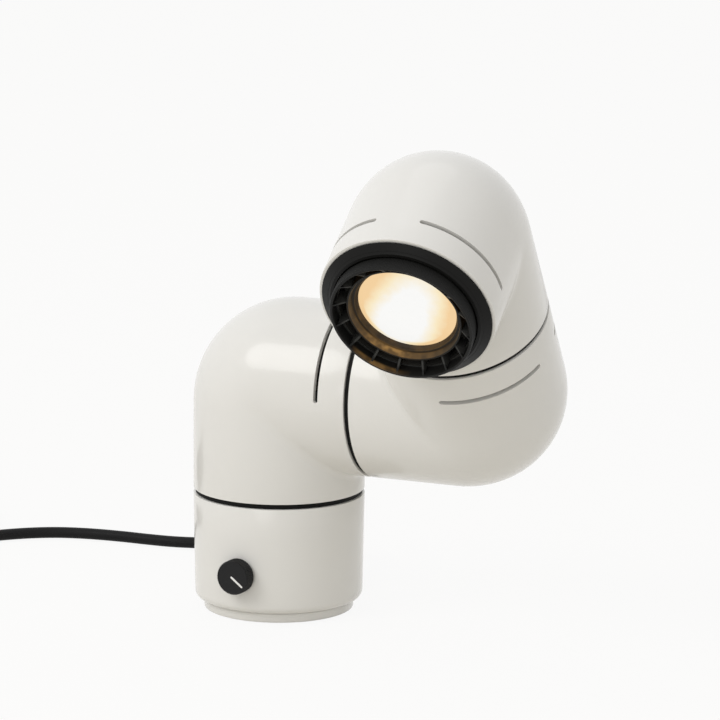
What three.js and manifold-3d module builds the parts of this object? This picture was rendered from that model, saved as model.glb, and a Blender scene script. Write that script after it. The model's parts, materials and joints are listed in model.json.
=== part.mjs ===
// Table lamp of a round base and three like elbows that swivel on one another.
// Lengths are in millimetres and angles in degrees. The origin is the middle of the underside,
// +Z is up, the dimmer knob faces -Y and the mains cord leaves at +Y.
import * as THREE from 'three';
import { mergeVertices } from 'three/addons/utils/BufferGeometryUtils.js';
import Module from 'manifold-3d';

const wasm = await Module();
wasm.setup();

// Clearances
const seat = 0.3;
const running = 0.5;
const inlayClearance = 0.15;
const overrun = 2;

// Elbows
const tubeRadius = 40;
const wall = 2.6;
const elbowLeg = 50;
const bendRadius = 8.7;
const edgeChamfer = 0.5;
const deckRecess = 4;
const deckThickness = 3.2;
const slotInset = 13.5;
const slotWidth = 2.6;
const slotStart = 14.5;
const slotEnd = 89.5;

// How far each elbow is turned about the tube below it, as the lamp is stored
const lowerTurn = 2.93;
const middleTurn = 32.17;
const headTurn = -86.36;

// Travel of each swivel, and the lug that each elbow carries into the stop below it
const lowerTravel = 330;
const middleTravel = 220;
const headTravel = 330;
const middleLowLimit = -142.17;
const lugSpread = 12;
const stopClearance = 1;

// Swivels
const tubeGap = 2.4;
const discRecess = 1;
const discWeb = 3.2;
const spigotDepth = 8;
const spigotWall = 3;
const hubRadius = 14;
const stopInnerRadius = 20;
const stopOuterRadius = 27;
const axleRadius = 5;
const axleBore = 3.4;
const axleHeadRadius = 8.5;
const axleHeadHeight = 2.4;
const axleTail = 1.5;
const thrustWasherThickness = 0.8;
const springWasherRadius = 11.5;
const springWasherHeight = 1.5;
const springWasherThickness = 0.9;
const lockNutFlats = 17;
const lockNutHeight = 5;
const leadRadius = 2.8;

// Base
const baseTop = 55.1;
const baseBottom = 5;
const baseTaper = 0.8;
const baseFootRound = 3.5;
const floorThickness = 2.2;
const floorLedge = 6.2;
const plinthOverlap = 1.6;
const plinthLift = 0.3;
const plinthChamfer = 0.6;
const padInset = 2.1;
const padThickness = 1.2;
const ballastClearance = 0.8;
const ballastDrop = 9.1;
const ballastBore = 8;
const plinthScrewInset = 7;
const plinthScrewTurn = 45;
const screwHeadRadius = 3.4;
const screwHeadHeight = 2;
const screwRadius = 1.9;
const screwReach = 14;

// Dimmer
const knobHeight = 23;
const knobRadius = 7.75;
const knobToothDepth = 0.3;
const knobDepth = 6.3;
const knobWall = 1.1;
const knobChamfer = 0.5;
const knobLift = 0.7;
const pointerTurn = 131;
const pointerStart = -0.9;
const pointerEnd = 6.6;
const pointerWidth = 0.95;
const pointerDepth = 0.6;
const canRadius = 9;
const canDepth = 10;
const canInset = 4.9;
const bushingRadius = 3.9;
const bushingBore = 2.6;
const bushingProud = 2.6;
const dimmerNutFlats = 10.6;
const dimmerNutHeight = 1.5;
const shaftRadius = 2.3;
const shaftFlat = 0.6;
const shaftInset = 5;
const boardWidth = 25;
const boardHeight = 22;
const boardThickness = 1.6;
const chokeRadius = 3.6;
const chokeLength = 6;
const capacitorWidth = 7.5;
const capacitorHeight = 6;
const pocketMargin = 1.5;

// Mains cord and what is on it
const cordRadius = 2.75;
const exitHeight = 14;
const gripLength = 28;
const gripCollarRadius = 6;
const gripCollarLength = 2.2;
const gripRootRadius = 5.4;
const gripTipRadius = 3.7;
const gripGroove = 0.7;
const gripFlangeRadius = 6.2;
const gripFlangeThickness = 1.6;
const gripNeckRadius = 4.4;
const channelHalfWidth = 9;
const clampLength = 8;
const clampThickness = 2;
const clampScrewRadius = 1.2;
const clampScrewHead = 2.1;
const clampScrewReach = 5;
const coilCentreX = -240;
const coilCentreY = 42;
const coilInnerRadius = 22.4;
const coilPitch = 6.1;
const coilLayer = 6.1;
const coilStartAngle = 323;
const coilLoopsPerLayer = 3.6;
const coilClimb_share = 0.5;
const tieWidth = 12;
const tieThickness = 1;
const tieAngle = 60;
const tieSlack = 1.1;
const tieCorner = 2;
const tieLiftReach = 60;
const coilTail = 40;
const coilTailLevel_share = 0.33;
const plugLength = 34;
const plugWidth = 25;
const plugHeight = 13.6;
const cornerCut_share = 0.25;
const plugTailLength = 9;
const plugPinRadius = 2;
const plugPinLength = 19;
const plugPinSpacing = 19;

// Lamp end of the head
const flangeWall = 4.1;
const flangeRimInset = 1.4;
const flangeRimHeight = 0.5;
const flangeRise = 2.4;
const flangeStepWidth = 2.4;
const flangeLip = 1;
const flangeDepth = 7;
const collarToothDepth = 0.35;
const collarFront = 10.3;
const collarWall = 1.4;
const collarKnurlStart = 3.9;
const collarLugReach = 2;
const collarLugHeight = 1.5;
const collarLugSpread = 24;
const collarNotchPlay = 2;
const collarNotchTurn = 30;
const cellWidth = 4.9;
const ringWall = 1.2;
const ringTop = 5.35;
const ringCover = 2.6;
const ringBack = -0.4;
const ringStepWidth = 1;
const ringStepHeight = 2.2;
const ringShelfWidth = 1;
const ringShelfHeight = 0.9;
const ringLipWidth = 0.8;
const cellFloorWidth = 2.4;
const cellFloorDepth = 2;
const cellFloorThickness = 1.5;
const ribThickness = 1.1;
const ribTurn = 6.7;
const bulbRimWall = 0.6;
const bulbRimHeight = 4;
const bulbBowlDepth = 27;
const bulbNeckRadius = 9.5;
const bulbWall = 1.2;
const glassDome = 1.1;
const glassDomeHalfway_share = 0.75;
const glassThickness = 1.7;
const footWidth = 19;
const footThickness = 14;
const footLength = 17.5;
const pinSpacing = 10;
const pinRadius = 1.5;
const pinHeadRadius = 2.5;
const pinHeadLength = 2.6;
const pinLength = 7;
const holderRadius = 13;
const holderHoleRadius = 3;
const bracketThickness = 1.5;
const bracketWidth = 18;
const bracketHead = 10;
const bracketStand = 3.9;
const bracketFootInset = 6.5;
const bracketScrew_share = 3 / 7;
const bracketScrewSpacing = 10;
const bracketScrewRadius = 1.4;
const bracketScrewHead = 2.5;
const bracketScrewHeadHeight = 1.6;
const bracketScrewReach = 2.6;

// Counts
const tubeSides = 32;
const bendSteps = 6;
const boreBendSteps = 3;
const roundSides = 20;
const smallSides = 12;
const slotSteps = 8;
const stopSteps = 2;
const lugSteps = 4;
const footRoundSteps = 4;
const plinthScrews = 4;
const knobTeeth = 32;
const collarTeeth = 64;
const collarLugs = 3;
const ribs = 16;
const cordSides = 8;
const cordSteps = 30;
const coilSides = 6;
const coilSteps = 24;
const coilTailSteps = 5;
const leadSteps = 8;
const gripGrooves = 3;
const hexagon = 6;

// Heights and radii that follow from the sizes above
const tubeBore = tubeRadius - wall;
const spigotRadius = tubeBore - seat;
const deckUnderside = tubeGap + deckRecess;
const deckTop = deckUnderside + deckThickness;
const webTop = tubeGap - seat;
const webUnderside = webTop - discWeb;
const hubTop = deckUnderside - thrustWasherThickness - 2 * seat;
const stopHeight = deckUnderside - webTop - 2 * running;
const springSeat = deckTop + seat;
const nutSeat = springSeat + springWasherHeight + seat;
const nutTop = nutSeat + lockNutHeight;
const padTop = padThickness + seat;
const plinthTop = baseBottom - seat;
const floorTop = baseBottom + floorThickness;
const plinthSpigotTop = floorTop;
const ballastBottom = floorTop + running;
const baseFootRadius = tubeRadius - baseTaper;
const floorHoleRadius = baseFootRadius - floorLedge;
const plinthRadius = floorHoleRadius + plinthOverlap;
const plinthScrewCircle = floorHoleRadius - plinthScrewInset;
const padRadius = plinthRadius - padInset;
const ballastRadius = baseFootRadius - wall - ballastClearance;
const ballastTop = baseTop - ballastDrop;
const coilOuterRadius = coilInnerRadius + coilPitch * coilLoopsPerLayer;

// From the head's mouth inwards: bezel, collar, its ring and the bulb that the ring holds
const flangeBore = spigotRadius - flangeWall;
const flangeRimRadius = tubeRadius - flangeRimInset;
const flangeStepRadius = flangeBore + flangeStepWidth;
const collarRadius = flangeBore - running;
const collarNeckRadius = collarRadius - collarToothDepth;
const collarBore = collarRadius - collarWall;
const ringRadius = collarBore - cellWidth;
const cellFloorRadius = ringRadius + cellFloorWidth;
const bulbRadius = ringRadius - ringWall;
const ringHoleRadius = bulbRadius - ringCover;
const ringShelfRadius = ringHoleRadius + ringShelfWidth;
const ringStepRadius = ringShelfRadius + ringStepWidth;
const glassSeat = ringBack - seat;

const looks = {
  shell: { color: 0xe4e2dc, roughness: 0.32, metalness: 0 },
  black: { color: 0x1d1d1b, roughness: 0.45, metalness: 0 },
  knob: { color: 0x262626, roughness: 0.6, metalness: 0 },
  cord: { color: 0x2b2b2b, roughness: 0.75, metalness: 0 },
  pad: { color: 0x3a3a38, roughness: 0.95, metalness: 0 },
  iron: { color: 0x4a4a4c, roughness: 0.7, metalness: 0.6 },
  steel: { color: 0xb9bbbd, roughness: 0.35, metalness: 1 },
  brass: { color: 0xc4a050, roughness: 0.35, metalness: 1 },
  nylon: { color: 0xd9d4c5, roughness: 0.6, metalness: 0 },
  board: { color: 0x2f5f3c, roughness: 0.6, metalness: 0 },
  ceramic: { color: 0xe9e4d6, roughness: 0.5, metalness: 0 },
  mirror: { color: 0xd8d8d8, roughness: 0.15, metalness: 1 },
  glass: { color: 0xffe3b0, roughness: 0.35, metalness: 0 },
  sleeve: { color: 0xd8cfae, roughness: 0.8, metalness: 0 },
  pointer: { color: 0xf4f4f2, roughness: 0.5, metalness: 0 },
};

function radians(degrees) {
  return THREE.MathUtils.degToRad(degrees);
}

// Outer radius of the base at a height: its wall draws in a little towards the foot
function baseOuterRadius(height) {
  const share = (height - baseBottom) / (baseTop - baseBottom);
  return THREE.MathUtils.lerp(baseFootRadius, tubeRadius, share);
}

// A closed mesh as a solid, with its faces turned outwards
function solid(geometry) {
  const bare = geometry.clone();
  bare.deleteAttribute('normal');
  bare.deleteAttribute('uv');
  const merged = mergeVertices(bare);
  const points = merged.attributes.position.array;
  const corners = merged.index.array;
  const pointAt = (k) => new THREE.Vector3().fromArray(points, 3 * k);
  const faces = [];
  let volume = 0;
  for (let i = 0; i < corners.length; i += 3) {
    const [a, b, c] = corners.slice(i, i + 3);
    if (a === b || b === c || a === c) continue;
    faces.push([a, b, c]);
    volume += pointAt(a).dot(pointAt(b).cross(pointAt(c)));
  }
  const outward = faces.flatMap(([a, b, c]) => (volume < 0 ? [a, c, b] : [a, b, c]));
  return new wasm.Manifold(new wasm.Mesh({
    numProp: 3, vertProperties: Float32Array.from(points), triVerts: Uint32Array.from(outward),
  }));
}

function geometryOf(body) {
  const result = body.getMesh();
  const geometry = new THREE.BufferGeometry();
  geometry.setAttribute('position', new THREE.BufferAttribute(result.vertProperties, result.numProp));
  geometry.setIndex(new THREE.BufferAttribute(result.triVerts, 1));
  geometry.computeVertexNormals();
  return geometry;
}

function piece(name, body, look) {
  const mesh = new THREE.Mesh(geometryOf(body), new THREE.MeshStandardMaterial(looks[look]));
  mesh.name = name;
  return mesh;
}

// Like steel screws, one at each place
function numbered(name, places, make) {
  return places.map((place, i) => piece(`${name}_${i + 1}`, make(place), 'steel'));
}

function union(bodies) {
  return bodies.reduce((sum, body) => sum.add(body));
}

// Revolves a closed outline of [radius, height] pairs about Z
function turned(outline, sides = roundSides) {
  const points = outline.map(([radius, height]) => new THREE.Vector2(radius, height));
  points.push(points[0].clone());
  return solid(new THREE.LatheGeometry(points, sides).rotateX(Math.PI / 2));
}

function rod(radius, bottom, top, sides = roundSides) {
  return turned([[0, bottom], [radius, bottom], [radius, top], [0, top]], sides);
}

function ring(innerRadius, outerRadius, bottom, top, sides = roundSides) {
  const outline = [[innerRadius, bottom], [outerRadius, bottom], [outerRadius, top], [innerRadius, top]];
  return turned(outline, sides);
}

function block(low, high) {
  const size = high.map((value, axis) => value - low[axis]);
  const middle = high.map((value, axis) => (value + low[axis]) / 2);
  return solid(new THREE.BoxGeometry(...size).translate(...middle));
}

// A flat outline of [x, y] pairs, with round or plain holes, raised from bottom to top
function raised(outline, bottom, top, holes = []) {
  const shape = new THREE.Shape(outline.map(([x, y]) => new THREE.Vector2(x, y)));
  shape.holes = holes.map((hole) => new THREE.Path(hole.map(([x, y]) => new THREE.Vector2(x, y))));
  const geometry = new THREE.ExtrudeGeometry(shape, { depth: top - bottom, bevelEnabled: false });
  return solid(geometry.translate(0, 0, bottom));
}

function circlePoints(radius, sides, turn = 0) {
  return Array.from({ length: sides }, (_, i) => {
    const angle = (2 * Math.PI * i) / sides + radians(turn);
    return [radius * Math.cos(angle), radius * Math.sin(angle)];
  });
}

// Part of a flat ring between two angles, raised from bottom to top
function arcBlock(innerRadius, outerRadius, fromAngle, toAngle, bottom, top, steps = slotSteps) {
  const arc = (radius) => Array.from({ length: steps + 1 }, (_, i) => {
    const angle = radians(THREE.MathUtils.lerp(fromAngle, toAngle, i / steps));
    return [radius * Math.cos(angle), radius * Math.sin(angle)];
  });
  return raised([...arc(outerRadius), ...arc(innerRadius).reverse()], bottom, top);
}

// Star outline of a knurl: teeth of one depth round a radius
function knurlPoints(radius, depth, teeth) {
  return Array.from({ length: 2 * teeth }, (_, i) => {
    const reach = i % 2 ? radius - depth : radius;
    const angle = (Math.PI * i) / teeth;
    return [reach * Math.cos(angle), reach * Math.sin(angle)];
  });
}

// Closed tube through rings of points, capped at both ends
function loft(rings) {
  const sides = rings[0].length;
  const points = rings.flat();
  const faces = [];
  for (let row = 0; row + 1 < rings.length; row += 1) {
    for (let i = 0; i < sides; i += 1) {
      const next = (i + 1) % sides;
      const [a, b] = [row * sides + i, row * sides + next];
      faces.push([a, b, b + sides], [a, b + sides, a + sides]);
    }
  }
  const last = (rings.length - 1) * sides;
  for (let i = 1; i + 1 < sides; i += 1) {
    faces.push([0, i + 1, i], [last, last + i, last + i + 1]);
  }
  const geometry = new THREE.BufferGeometry().setFromPoints(points);
  geometry.setIndex(faces.flat());
  return solid(geometry);
}

// Round bar along a smooth curve through hand-chosen points
function tubeAlong(points, radius, sides, steps) {
  const places = points.map((point) => new THREE.Vector3(...point));
  const curve = new THREE.CatmullRomCurve3(places, false, 'centripetal');
  const section = new THREE.Shape(circlePoints(radius, sides).map(([x, y]) => new THREE.Vector2(x, y)));
  return solid(new THREE.ExtrudeGeometry(section, { steps, extrudePath: curve, bevelEnabled: false }));
}

// Solid pipe bend from height fromZ up to the corner and out along X as far as toX.
// Its inner side is a plain mitre and its outer side an arc about the bend's axis.
function pipeBend(radius, fromZ, toX, steps, chamfer = 0) {
  const corners = (reach) => circlePoints(reach, tubeSides);
  const upright = (reach, height) => corners(reach).map(([x, y]) => new THREE.Vector3(x, y, height));
  const level = (reach, out) => corners(reach).map(([x, y]) => new THREE.Vector3(out, y, elbowLeg - x));
  const bend = Array.from({ length: steps + 1 }, (_, step) => {
    const angle = (Math.PI / 2) * (step / steps);
    return corners(radius).map(([x, y]) => {
      const arm = Math.max(bendRadius - x, 0);
      const pivot = Math.max(bendRadius, x);
      return new THREE.Vector3(pivot - arm * Math.cos(angle), y, elbowLeg - pivot + arm * Math.sin(angle));
    });
  });
  const rings = [upright(radius, fromZ + chamfer), ...bend, level(radius, toX - chamfer)];
  if (chamfer > 0) {
    rings.unshift(upright(radius - chamfer, fromZ));
    rings.push(level(radius - chamfer, toX));
  }
  return loft(rings);
}

// Turns a body made about +Z so that it stands on the elbow's mouth, looking out along +X
function onMouth(body) {
  return body.rotate([0, 90, 0]).translate([elbowLeg, 0, elbowLeg]);
}

// Moulded elbow: open mouth, deck across its foot for the axle, lug under the deck, two vent slots
function elbowShell() {
  const localDeck = deckRecess + deckThickness;
  const shell = pipeBend(tubeRadius, 0, elbowLeg, bendSteps, edgeChamfer)
    .subtract(pipeBend(tubeBore, localDeck, elbowLeg + overrun, boreBendSteps))
    .subtract(rod(tubeBore, -overrun, deckRecess, tubeSides))
    .subtract(rod(axleRadius + running, deckRecess - overrun, localDeck + overrun, smallSides));
  const lug = arcBlock(stopInnerRadius, stopOuterRadius, -lugSpread / 2, lugSpread / 2,
    deckRecess - stopHeight, deckRecess + deckThickness / 2, stopSteps);
  const slots = [1, -1].map((side) => onMouth(arcBlock(tubeBore - wall, tubeRadius + wall,
    180 + side * slotStart, 180 + side * slotEnd, -slotInset - slotWidth / 2, -slotInset + slotWidth / 2)));
  return slots.reduce((body, slot) => body.subtract(slot), shell.add(lug));
}

// Black disc in a tube's mouth: its rim shows in the gap, its ring of stop blocks the next elbow's lug
function couplingDisc(middleAngle, travel) {
  const body = turned([
    [axleRadius + seat, webUnderside], [spigotRadius - spigotWall, webUnderside],
    [spigotRadius - spigotWall, -spigotDepth], [spigotRadius, -spigotDepth], [spigotRadius, seat],
    [tubeRadius - discRecess, seat], [tubeRadius - discRecess, webTop], [hubRadius, webTop],
    [hubRadius, hubTop], [axleRadius + seat, hubTop]], tubeSides);
  const stopSpread = 360 - travel - lugSpread - 2 * stopClearance;
  const opposite = middleAngle + 180;
  return body.add(arcBlock(stopInnerRadius, stopOuterRadius, opposite - stopSpread / 2,
    opposite + stopSpread / 2, webTop - discWeb / 2, webTop + stopHeight));
}

function axleTube() {
  const headBottom = webUnderside - seat - axleHeadHeight;
  const headTop = webUnderside - seat;
  return turned([[axleBore, headBottom], [axleHeadRadius, headBottom], [axleHeadRadius, headTop],
    [axleRadius, headTop], [axleRadius, nutTop + axleTail], [axleBore, nutTop + axleTail]], smallSides);
}

function springWasher() {
  const inner = axleRadius + running;
  const raisedEdge = springSeat + springWasherHeight - springWasherThickness;
  return turned([[inner, raisedEdge], [springWasherRadius, springSeat],
    [springWasherRadius, springSeat + springWasherThickness],
    [inner, springSeat + springWasherHeight]], smallSides);
}

function lockNut() {
  const corner = lockNutFlats / 2 / Math.cos(Math.PI / hexagon);
  const bore = circlePoints(axleRadius + seat, smallSides);
  return raised(circlePoints(corner, hexagon), nutSeat, nutTop, [bore]);
}

// Pieces of one swivel that stay with the tube below it
function fixedSwivelPieces(letter, middleAngle, travel) {
  return [
    piece(`coupling_disc_${letter}`, couplingDisc(middleAngle, travel), 'black'),
    piece(`axle_tube_${letter}`, axleTube(), 'brass'),
    piece(`lock_nut_${letter}`, lockNut(), 'steel'),
  ];
}

// Pieces of one swivel that turn with the elbow above it, in that elbow's own frame
function turningSwivelPieces(letter) {
  const washer = ring(axleRadius + running, hubRadius, hubTop + seat, deckUnderside - seat, smallSides);
  return [
    piece(`thrust_washer_${letter}`, washer.translate([0, 0, -tubeGap]), 'nylon'),
    piece(`spring_washer_${letter}`, springWasher().translate([0, 0, -tubeGap]), 'steel'),
  ];
}

// Lead from one axle's bore round the elbow into the next axle's bore
function elbowLead() {
  const start = seat - tubeGap;
  const bendStart = nutTop + axleTail;
  return tubeAlong([[0, 0, start], [0, 0, bendStart], [0, 0, elbowLeg - bendStart],
    [bendRadius, 0, elbowLeg - bendRadius], [bendStart, 0, elbowLeg],
    [elbowLeg - bendStart, 0, elbowLeg], [elbowLeg, 0, elbowLeg]], leadRadius, cordSides, leadSteps);
}

function baseShell() {
  const footCorner = Array.from({ length: footRoundSteps + 1 }, (_, i) => {
    const angle = (Math.PI / 2) * (i / footRoundSteps);
    return [baseFootRadius - baseFootRound + baseFootRound * Math.sin(angle),
      baseBottom + baseFootRound - baseFootRound * Math.cos(angle)];
  });
  const spigotEnd = baseTop - spigotDepth - overrun;
  const shell = turned([[floorHoleRadius, baseBottom], ...footCorner,
    [tubeRadius, baseTop - edgeChamfer], [tubeRadius - edgeChamfer, baseTop], [tubeBore, baseTop],
    [tubeBore, spigotEnd], [baseFootRadius - wall, floorTop], [floorHoleRadius, floorTop]], tubeSides);
  const shaftHole = alongFront(rod(bushingRadius + seat, 0, tubeRadius + overrun, smallSides), knobHeight);
  const cordHole = alongBack(rod(gripNeckRadius + seat, 0, tubeRadius + overrun, smallSides), exitHeight);
  return shell.subtract(shaftHole).subtract(cordHole);
}

// Lays a body made about +Z along -Y, at a height
function alongFront(body, height) {
  return body.rotate([90, 0, 0]).translate([0, 0, height]);
}

// Lays a body made about +Z along +Y, at a height
function alongBack(body, height) {
  return body.rotate([-90, 0, 0]).translate([0, 0, height]);
}

function screwPlaces() {
  return circlePoints(plinthScrewCircle, plinthScrews, plinthScrewTurn);
}

function plinth() {
  const rim = plinthLift + plinthChamfer;
  const body = turned([[0, padTop], [padRadius + seat, padTop], [padRadius + seat, plinthLift],
    [plinthRadius - plinthChamfer, plinthLift], [plinthRadius, rim],
    [plinthRadius, plinthTop - plinthChamfer], [plinthRadius - plinthChamfer, plinthTop],
    [floorHoleRadius - seat, plinthTop],
    [floorHoleRadius - seat, plinthSpigotTop], [0, plinthSpigotTop]], tubeSides);
  const holes = screwPlaces().map(([x, y]) => union([
    rod(screwHeadRadius + seat, padTop - overrun, padTop + screwHeadHeight + seat, smallSides),
    rod(screwRadius + seat, padTop, plinthSpigotTop + overrun, smallSides),
  ]).translate([x, y, 0]));
  return holes.reduce((rest, hole) => rest.subtract(hole), body);
}

// Cast weight: bored for the leads, with a pocket for the dimmer and a channel for the cord
function ballast() {
  const pocketBack = -(canFront - canDepth - boardThickness - capacitorWidth - 2 * pocketMargin);
  const pocketHalf = boardWidth / 2 + pocketMargin;
  const pocketLow = knobHeight - boardHeight / 2 - pocketMargin;
  const body = rod(ballastRadius, ballastBottom, ballastTop);
  const above = ballastTop + overrun;
  const pocket = block([-pocketHalf, -tubeRadius, pocketLow], [pocketHalf, pocketBack, above]);
  const slot = block([-ballastBore, pocketBack - overrun, pocketLow], [ballastBore, 0, above]);
  const channel = block([-channelHalfWidth, pocketBack - overrun, ballastBottom - overrun],
    [channelHalfWidth, tubeRadius, channelTop]);
  const flangeRoom = block([-channelHalfWidth, gripFlangeBack - pocketMargin, ballastBottom - overrun],
    [channelHalfWidth, tubeRadius, exitHeight + gripFlangeRadius + pocketMargin]);
  const bore = rod(ballastBore, exitHeight, above, smallSides);
  const holes = screwPlaces().map(([x, y]) => rod(screwRadius + seat, ballastBottom - overrun,
    padTop + screwHeadHeight + screwReach + seat, smallSides).translate([x, y, 0]));
  const clampHoles = clampScrewPlaces().map(([x, y]) => rod(clampScrewRadius + seat, channelTop - overrun,
    channelTop + clampScrewReach + seat, smallSides).translate([x, y, 0]));
  return [pocket, slot, channel, flangeRoom, bore, ...holes, ...clampHoles]
    .reduce((rest, cut) => rest.subtract(cut), body);
}

function plinthScrew([x, y]) {
  const headBottom = padTop;
  const headTop = padTop + screwHeadHeight;
  return turned([[0, headBottom], [screwHeadRadius, headBottom], [screwHeadRadius, headTop],
    [screwRadius, headTop], [screwRadius, headTop + screwReach], [0, headTop + screwReach]], smallSides)
    .translate([x, y, 0]);
}

// Distances of the dimmer's parts from the lamp's axis, measured towards the front
const wallFront = baseOuterRadius(knobHeight + knobRadius);
const canFront = wallFront - canInset;
const bushingFront = wallFront + bushingProud;
const knobBack = wallFront + knobLift;
const knobFront = knobBack + knobDepth;
const shaftFront = knobFront - knobWall - seat;

function dimmerCan() {
  const bore = bushingBore;
  const body = turned([[0, canFront - canDepth], [canRadius, canFront - canDepth], [canRadius, canFront],
    [bushingRadius, canFront], [bushingRadius, bushingFront], [bore, bushingFront],
    [bore, canFront - shaftInset], [0, canFront - shaftInset]], smallSides);
  return alongFront(body, knobHeight);
}

function dimmerNut() {
  const corner = dimmerNutFlats / 2 / Math.cos(Math.PI / hexagon);
  const nut = raised(circlePoints(corner, hexagon), wallFront + seat, wallFront + seat + dimmerNutHeight,
    [circlePoints(bushingRadius + seat, smallSides)]);
  return alongFront(nut, knobHeight);
}

function dimmerShaft() {
  const bottom = canFront - shaftInset + seat;
  const flat = block([shaftRadius - shaftFlat, -shaftRadius, bushingFront + seat],
    [shaftRadius + overrun, shaftRadius, shaftFront + overrun]);
  return alongFront(rod(shaftRadius, bottom, shaftFront, smallSides).subtract(flat), knobHeight);
}

function dimmerBoard() {
  const front = canFront - canDepth - seat;
  const back = front - boardThickness;
  const plate = block([-boardWidth / 2, -boardHeight / 2, back], [boardWidth / 2, boardHeight / 2, front]);
  const capacitor = block([-boardWidth / 2 + pocketMargin, 0, back - capacitorHeight],
    [-boardWidth / 2 + pocketMargin + capacitorWidth, capacitorWidth, back + boardThickness / 2]);
  const chokeInset = chokeRadius + pocketMargin;
  const choke = rod(chokeRadius, back - chokeLength, back + boardThickness / 2, smallSides)
    .translate([boardWidth / 2 - chokeInset, chokeInset - boardHeight / 2, 0]);
  return alongFront(union([plate, capacitor, choke]), knobHeight);
}

// The knob's pointer as a bar with round ends, along the direction that it shows
function pointerBar(margin, bottom, top) {
  const half = pointerWidth / 2 + margin;
  const endCap = (x, from) => Array.from({ length: smallSides / 2 + 1 }, (_, i) => {
    const angle = radians(from) + (Math.PI * i) / (smallSides / 2);
    return [x + half * Math.cos(angle), half * Math.sin(angle)];
  });
  const inset = pointerWidth / 2;
  const outline = [...endCap(pointerEnd - inset, -90), ...endCap(pointerStart + inset, 90)];
  return raised(outline, bottom, top).rotate([0, 0, 90 - pointerTurn]);
}

function dimmerKnob() {
  const faceRadius = knobRadius - knobToothDepth;
  const shoulder = knobFront - knobChamfer;
  const grip = raised(knurlPoints(knobRadius, knobToothDepth, knobTeeth), knobBack, shoulder);
  const face = turned([[0, shoulder - knobChamfer], [faceRadius, shoulder - knobChamfer],
    [faceRadius, shoulder], [faceRadius - knobChamfer, knobFront], [0, knobFront]], knobTeeth);
  const hollowEnd = wallFront + dimmerNutHeight + bushingProud / 2 + 2 * seat;
  const hollow = rod(knobRadius - knobWall, knobBack - overrun, hollowEnd);
  const bore = rod(shaftRadius + seat, knobBack, shaftFront + seat, smallSides);
  const slot = pointerBar(inlayClearance, knobFront - pointerDepth - inlayClearance, knobFront + overrun);
  return alongFront(grip.add(face).subtract(hollow).subtract(bore).subtract(slot), knobHeight);
}

// Distances of the strain relief's faces from the lamp's axis, measured towards the back
const gripWall = baseOuterRadius(exitHeight + gripCollarRadius);
const gripCollarBack = gripWall + seat;
const gripTaperStart = gripCollarBack + gripCollarLength;
const gripEnd = gripTaperStart + gripLength;
const gripFlangeFront = gripWall - wall - 2 * running;
const gripFlangeBack = gripFlangeFront - gripFlangeThickness;

// Tapered sleeve that the cord leaves the base through, grooved so that it bends evenly
function strainRelief() {
  const pitch = gripLength / (gripGrooves + 1);
  const taper = [[gripRootRadius, gripTaperStart]];
  for (let i = 1; i <= gripGrooves; i += 1) {
    const radius = THREE.MathUtils.lerp(gripRootRadius, gripTipRadius, i / (gripGrooves + 1));
    const middle = gripTaperStart + i * pitch;
    taper.push([radius, middle - gripGroove], [radius - gripGroove, middle - gripGroove],
      [radius - gripGroove, middle + gripGroove], [radius, middle + gripGroove]);
  }
  taper.push([gripTipRadius, gripEnd]);
  const outline = [[0, gripFlangeBack], [gripFlangeRadius, gripFlangeBack],
    [gripFlangeRadius, gripFlangeFront], [gripNeckRadius, gripFlangeFront],
    [gripNeckRadius, gripCollarBack], [gripCollarRadius, gripCollarBack],
    [gripCollarRadius, gripTaperStart], ...taper, [0, gripEnd]];
  return alongBack(turned(outline, smallSides), exitHeight);
}

const clampMiddle = tubeRadius / 2 + clampLength / 2;
const clampBottom = exitHeight - leadRadius - clampThickness;
const channelTop = exitHeight + leadRadius + running;

// Saddle under the cord in the weight's channel, screwed up on each side
function cordClamp() {
  const half = channelHalfWidth - seat;
  const grooveHalf = leadRadius + running;
  const [front, back] = [clampMiddle - clampLength / 2, clampMiddle + clampLength / 2];
  const body = block([-half, front, clampBottom], [half, back, channelTop - seat]);
  const groove = alongBack(rod(grooveHalf, 0, tubeRadius, smallSides), exitHeight);
  const mouth = block([-grooveHalf, front - overrun, exitHeight], [grooveHalf, back + overrun, channelTop]);
  const holes = clampScrewPlaces().map(([x, y]) => rod(clampScrewRadius + seat, clampBottom - overrun,
    channelTop, smallSides).translate([x, y, 0]));
  return [groove, mouth, ...holes].reduce((rest, cut) => rest.subtract(cut), body);
}

function clampScrewPlaces() {
  const across = (leadRadius + channelHalfWidth) / 2;
  return [[-across, clampMiddle], [across, clampMiddle]];
}

function clampScrew([x, y]) {
  const under = clampBottom - seat;
  const end = channelTop + clampScrewReach;
  return turned([[0, under - clampScrewHead / 2], [clampScrewHead, under - clampScrewHead / 2],
    [clampScrewHead, under], [clampScrewRadius, under], [clampScrewRadius, end], [0, end]], smallSides)
    .translate([x, y, 0]);
}

// Lead from the strain relief through the clamp to the dimmer's board
function baseLead() {
  const start = gripFlangeBack - seat;
  const boardBack = canFront - canDepth - boardThickness - 2 * seat;
  return tubeAlong([[0, start, exitHeight], [0, clampMiddle, exitHeight], [0, ballastBore, exitHeight],
    [0, -boardBack / 2, exitHeight + leadRadius], [0, -boardBack, exitHeight + leadRadius]],
  leadRadius, cordSides, leadSteps);
}

// Lead from the dimmer's board up into the first axle's bore
function riserLead() {
  const boardBack = canFront - canDepth - boardThickness - 2 * seat;
  const start = knobHeight + boardHeight / 2 - leadRadius;
  const axleFoot = baseTop + webUnderside - axleHeadHeight - leadRadius;
  return tubeAlong([[0, -boardBack, start], [0, leadRadius - boardBack, start],
    [0, -boardBack / 2, start + leadRadius], [0, 0, axleFoot - leadRadius], [0, 0, axleFoot],
    [0, 0, baseTop]], leadRadius, cordSides, leadSteps);
}

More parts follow.
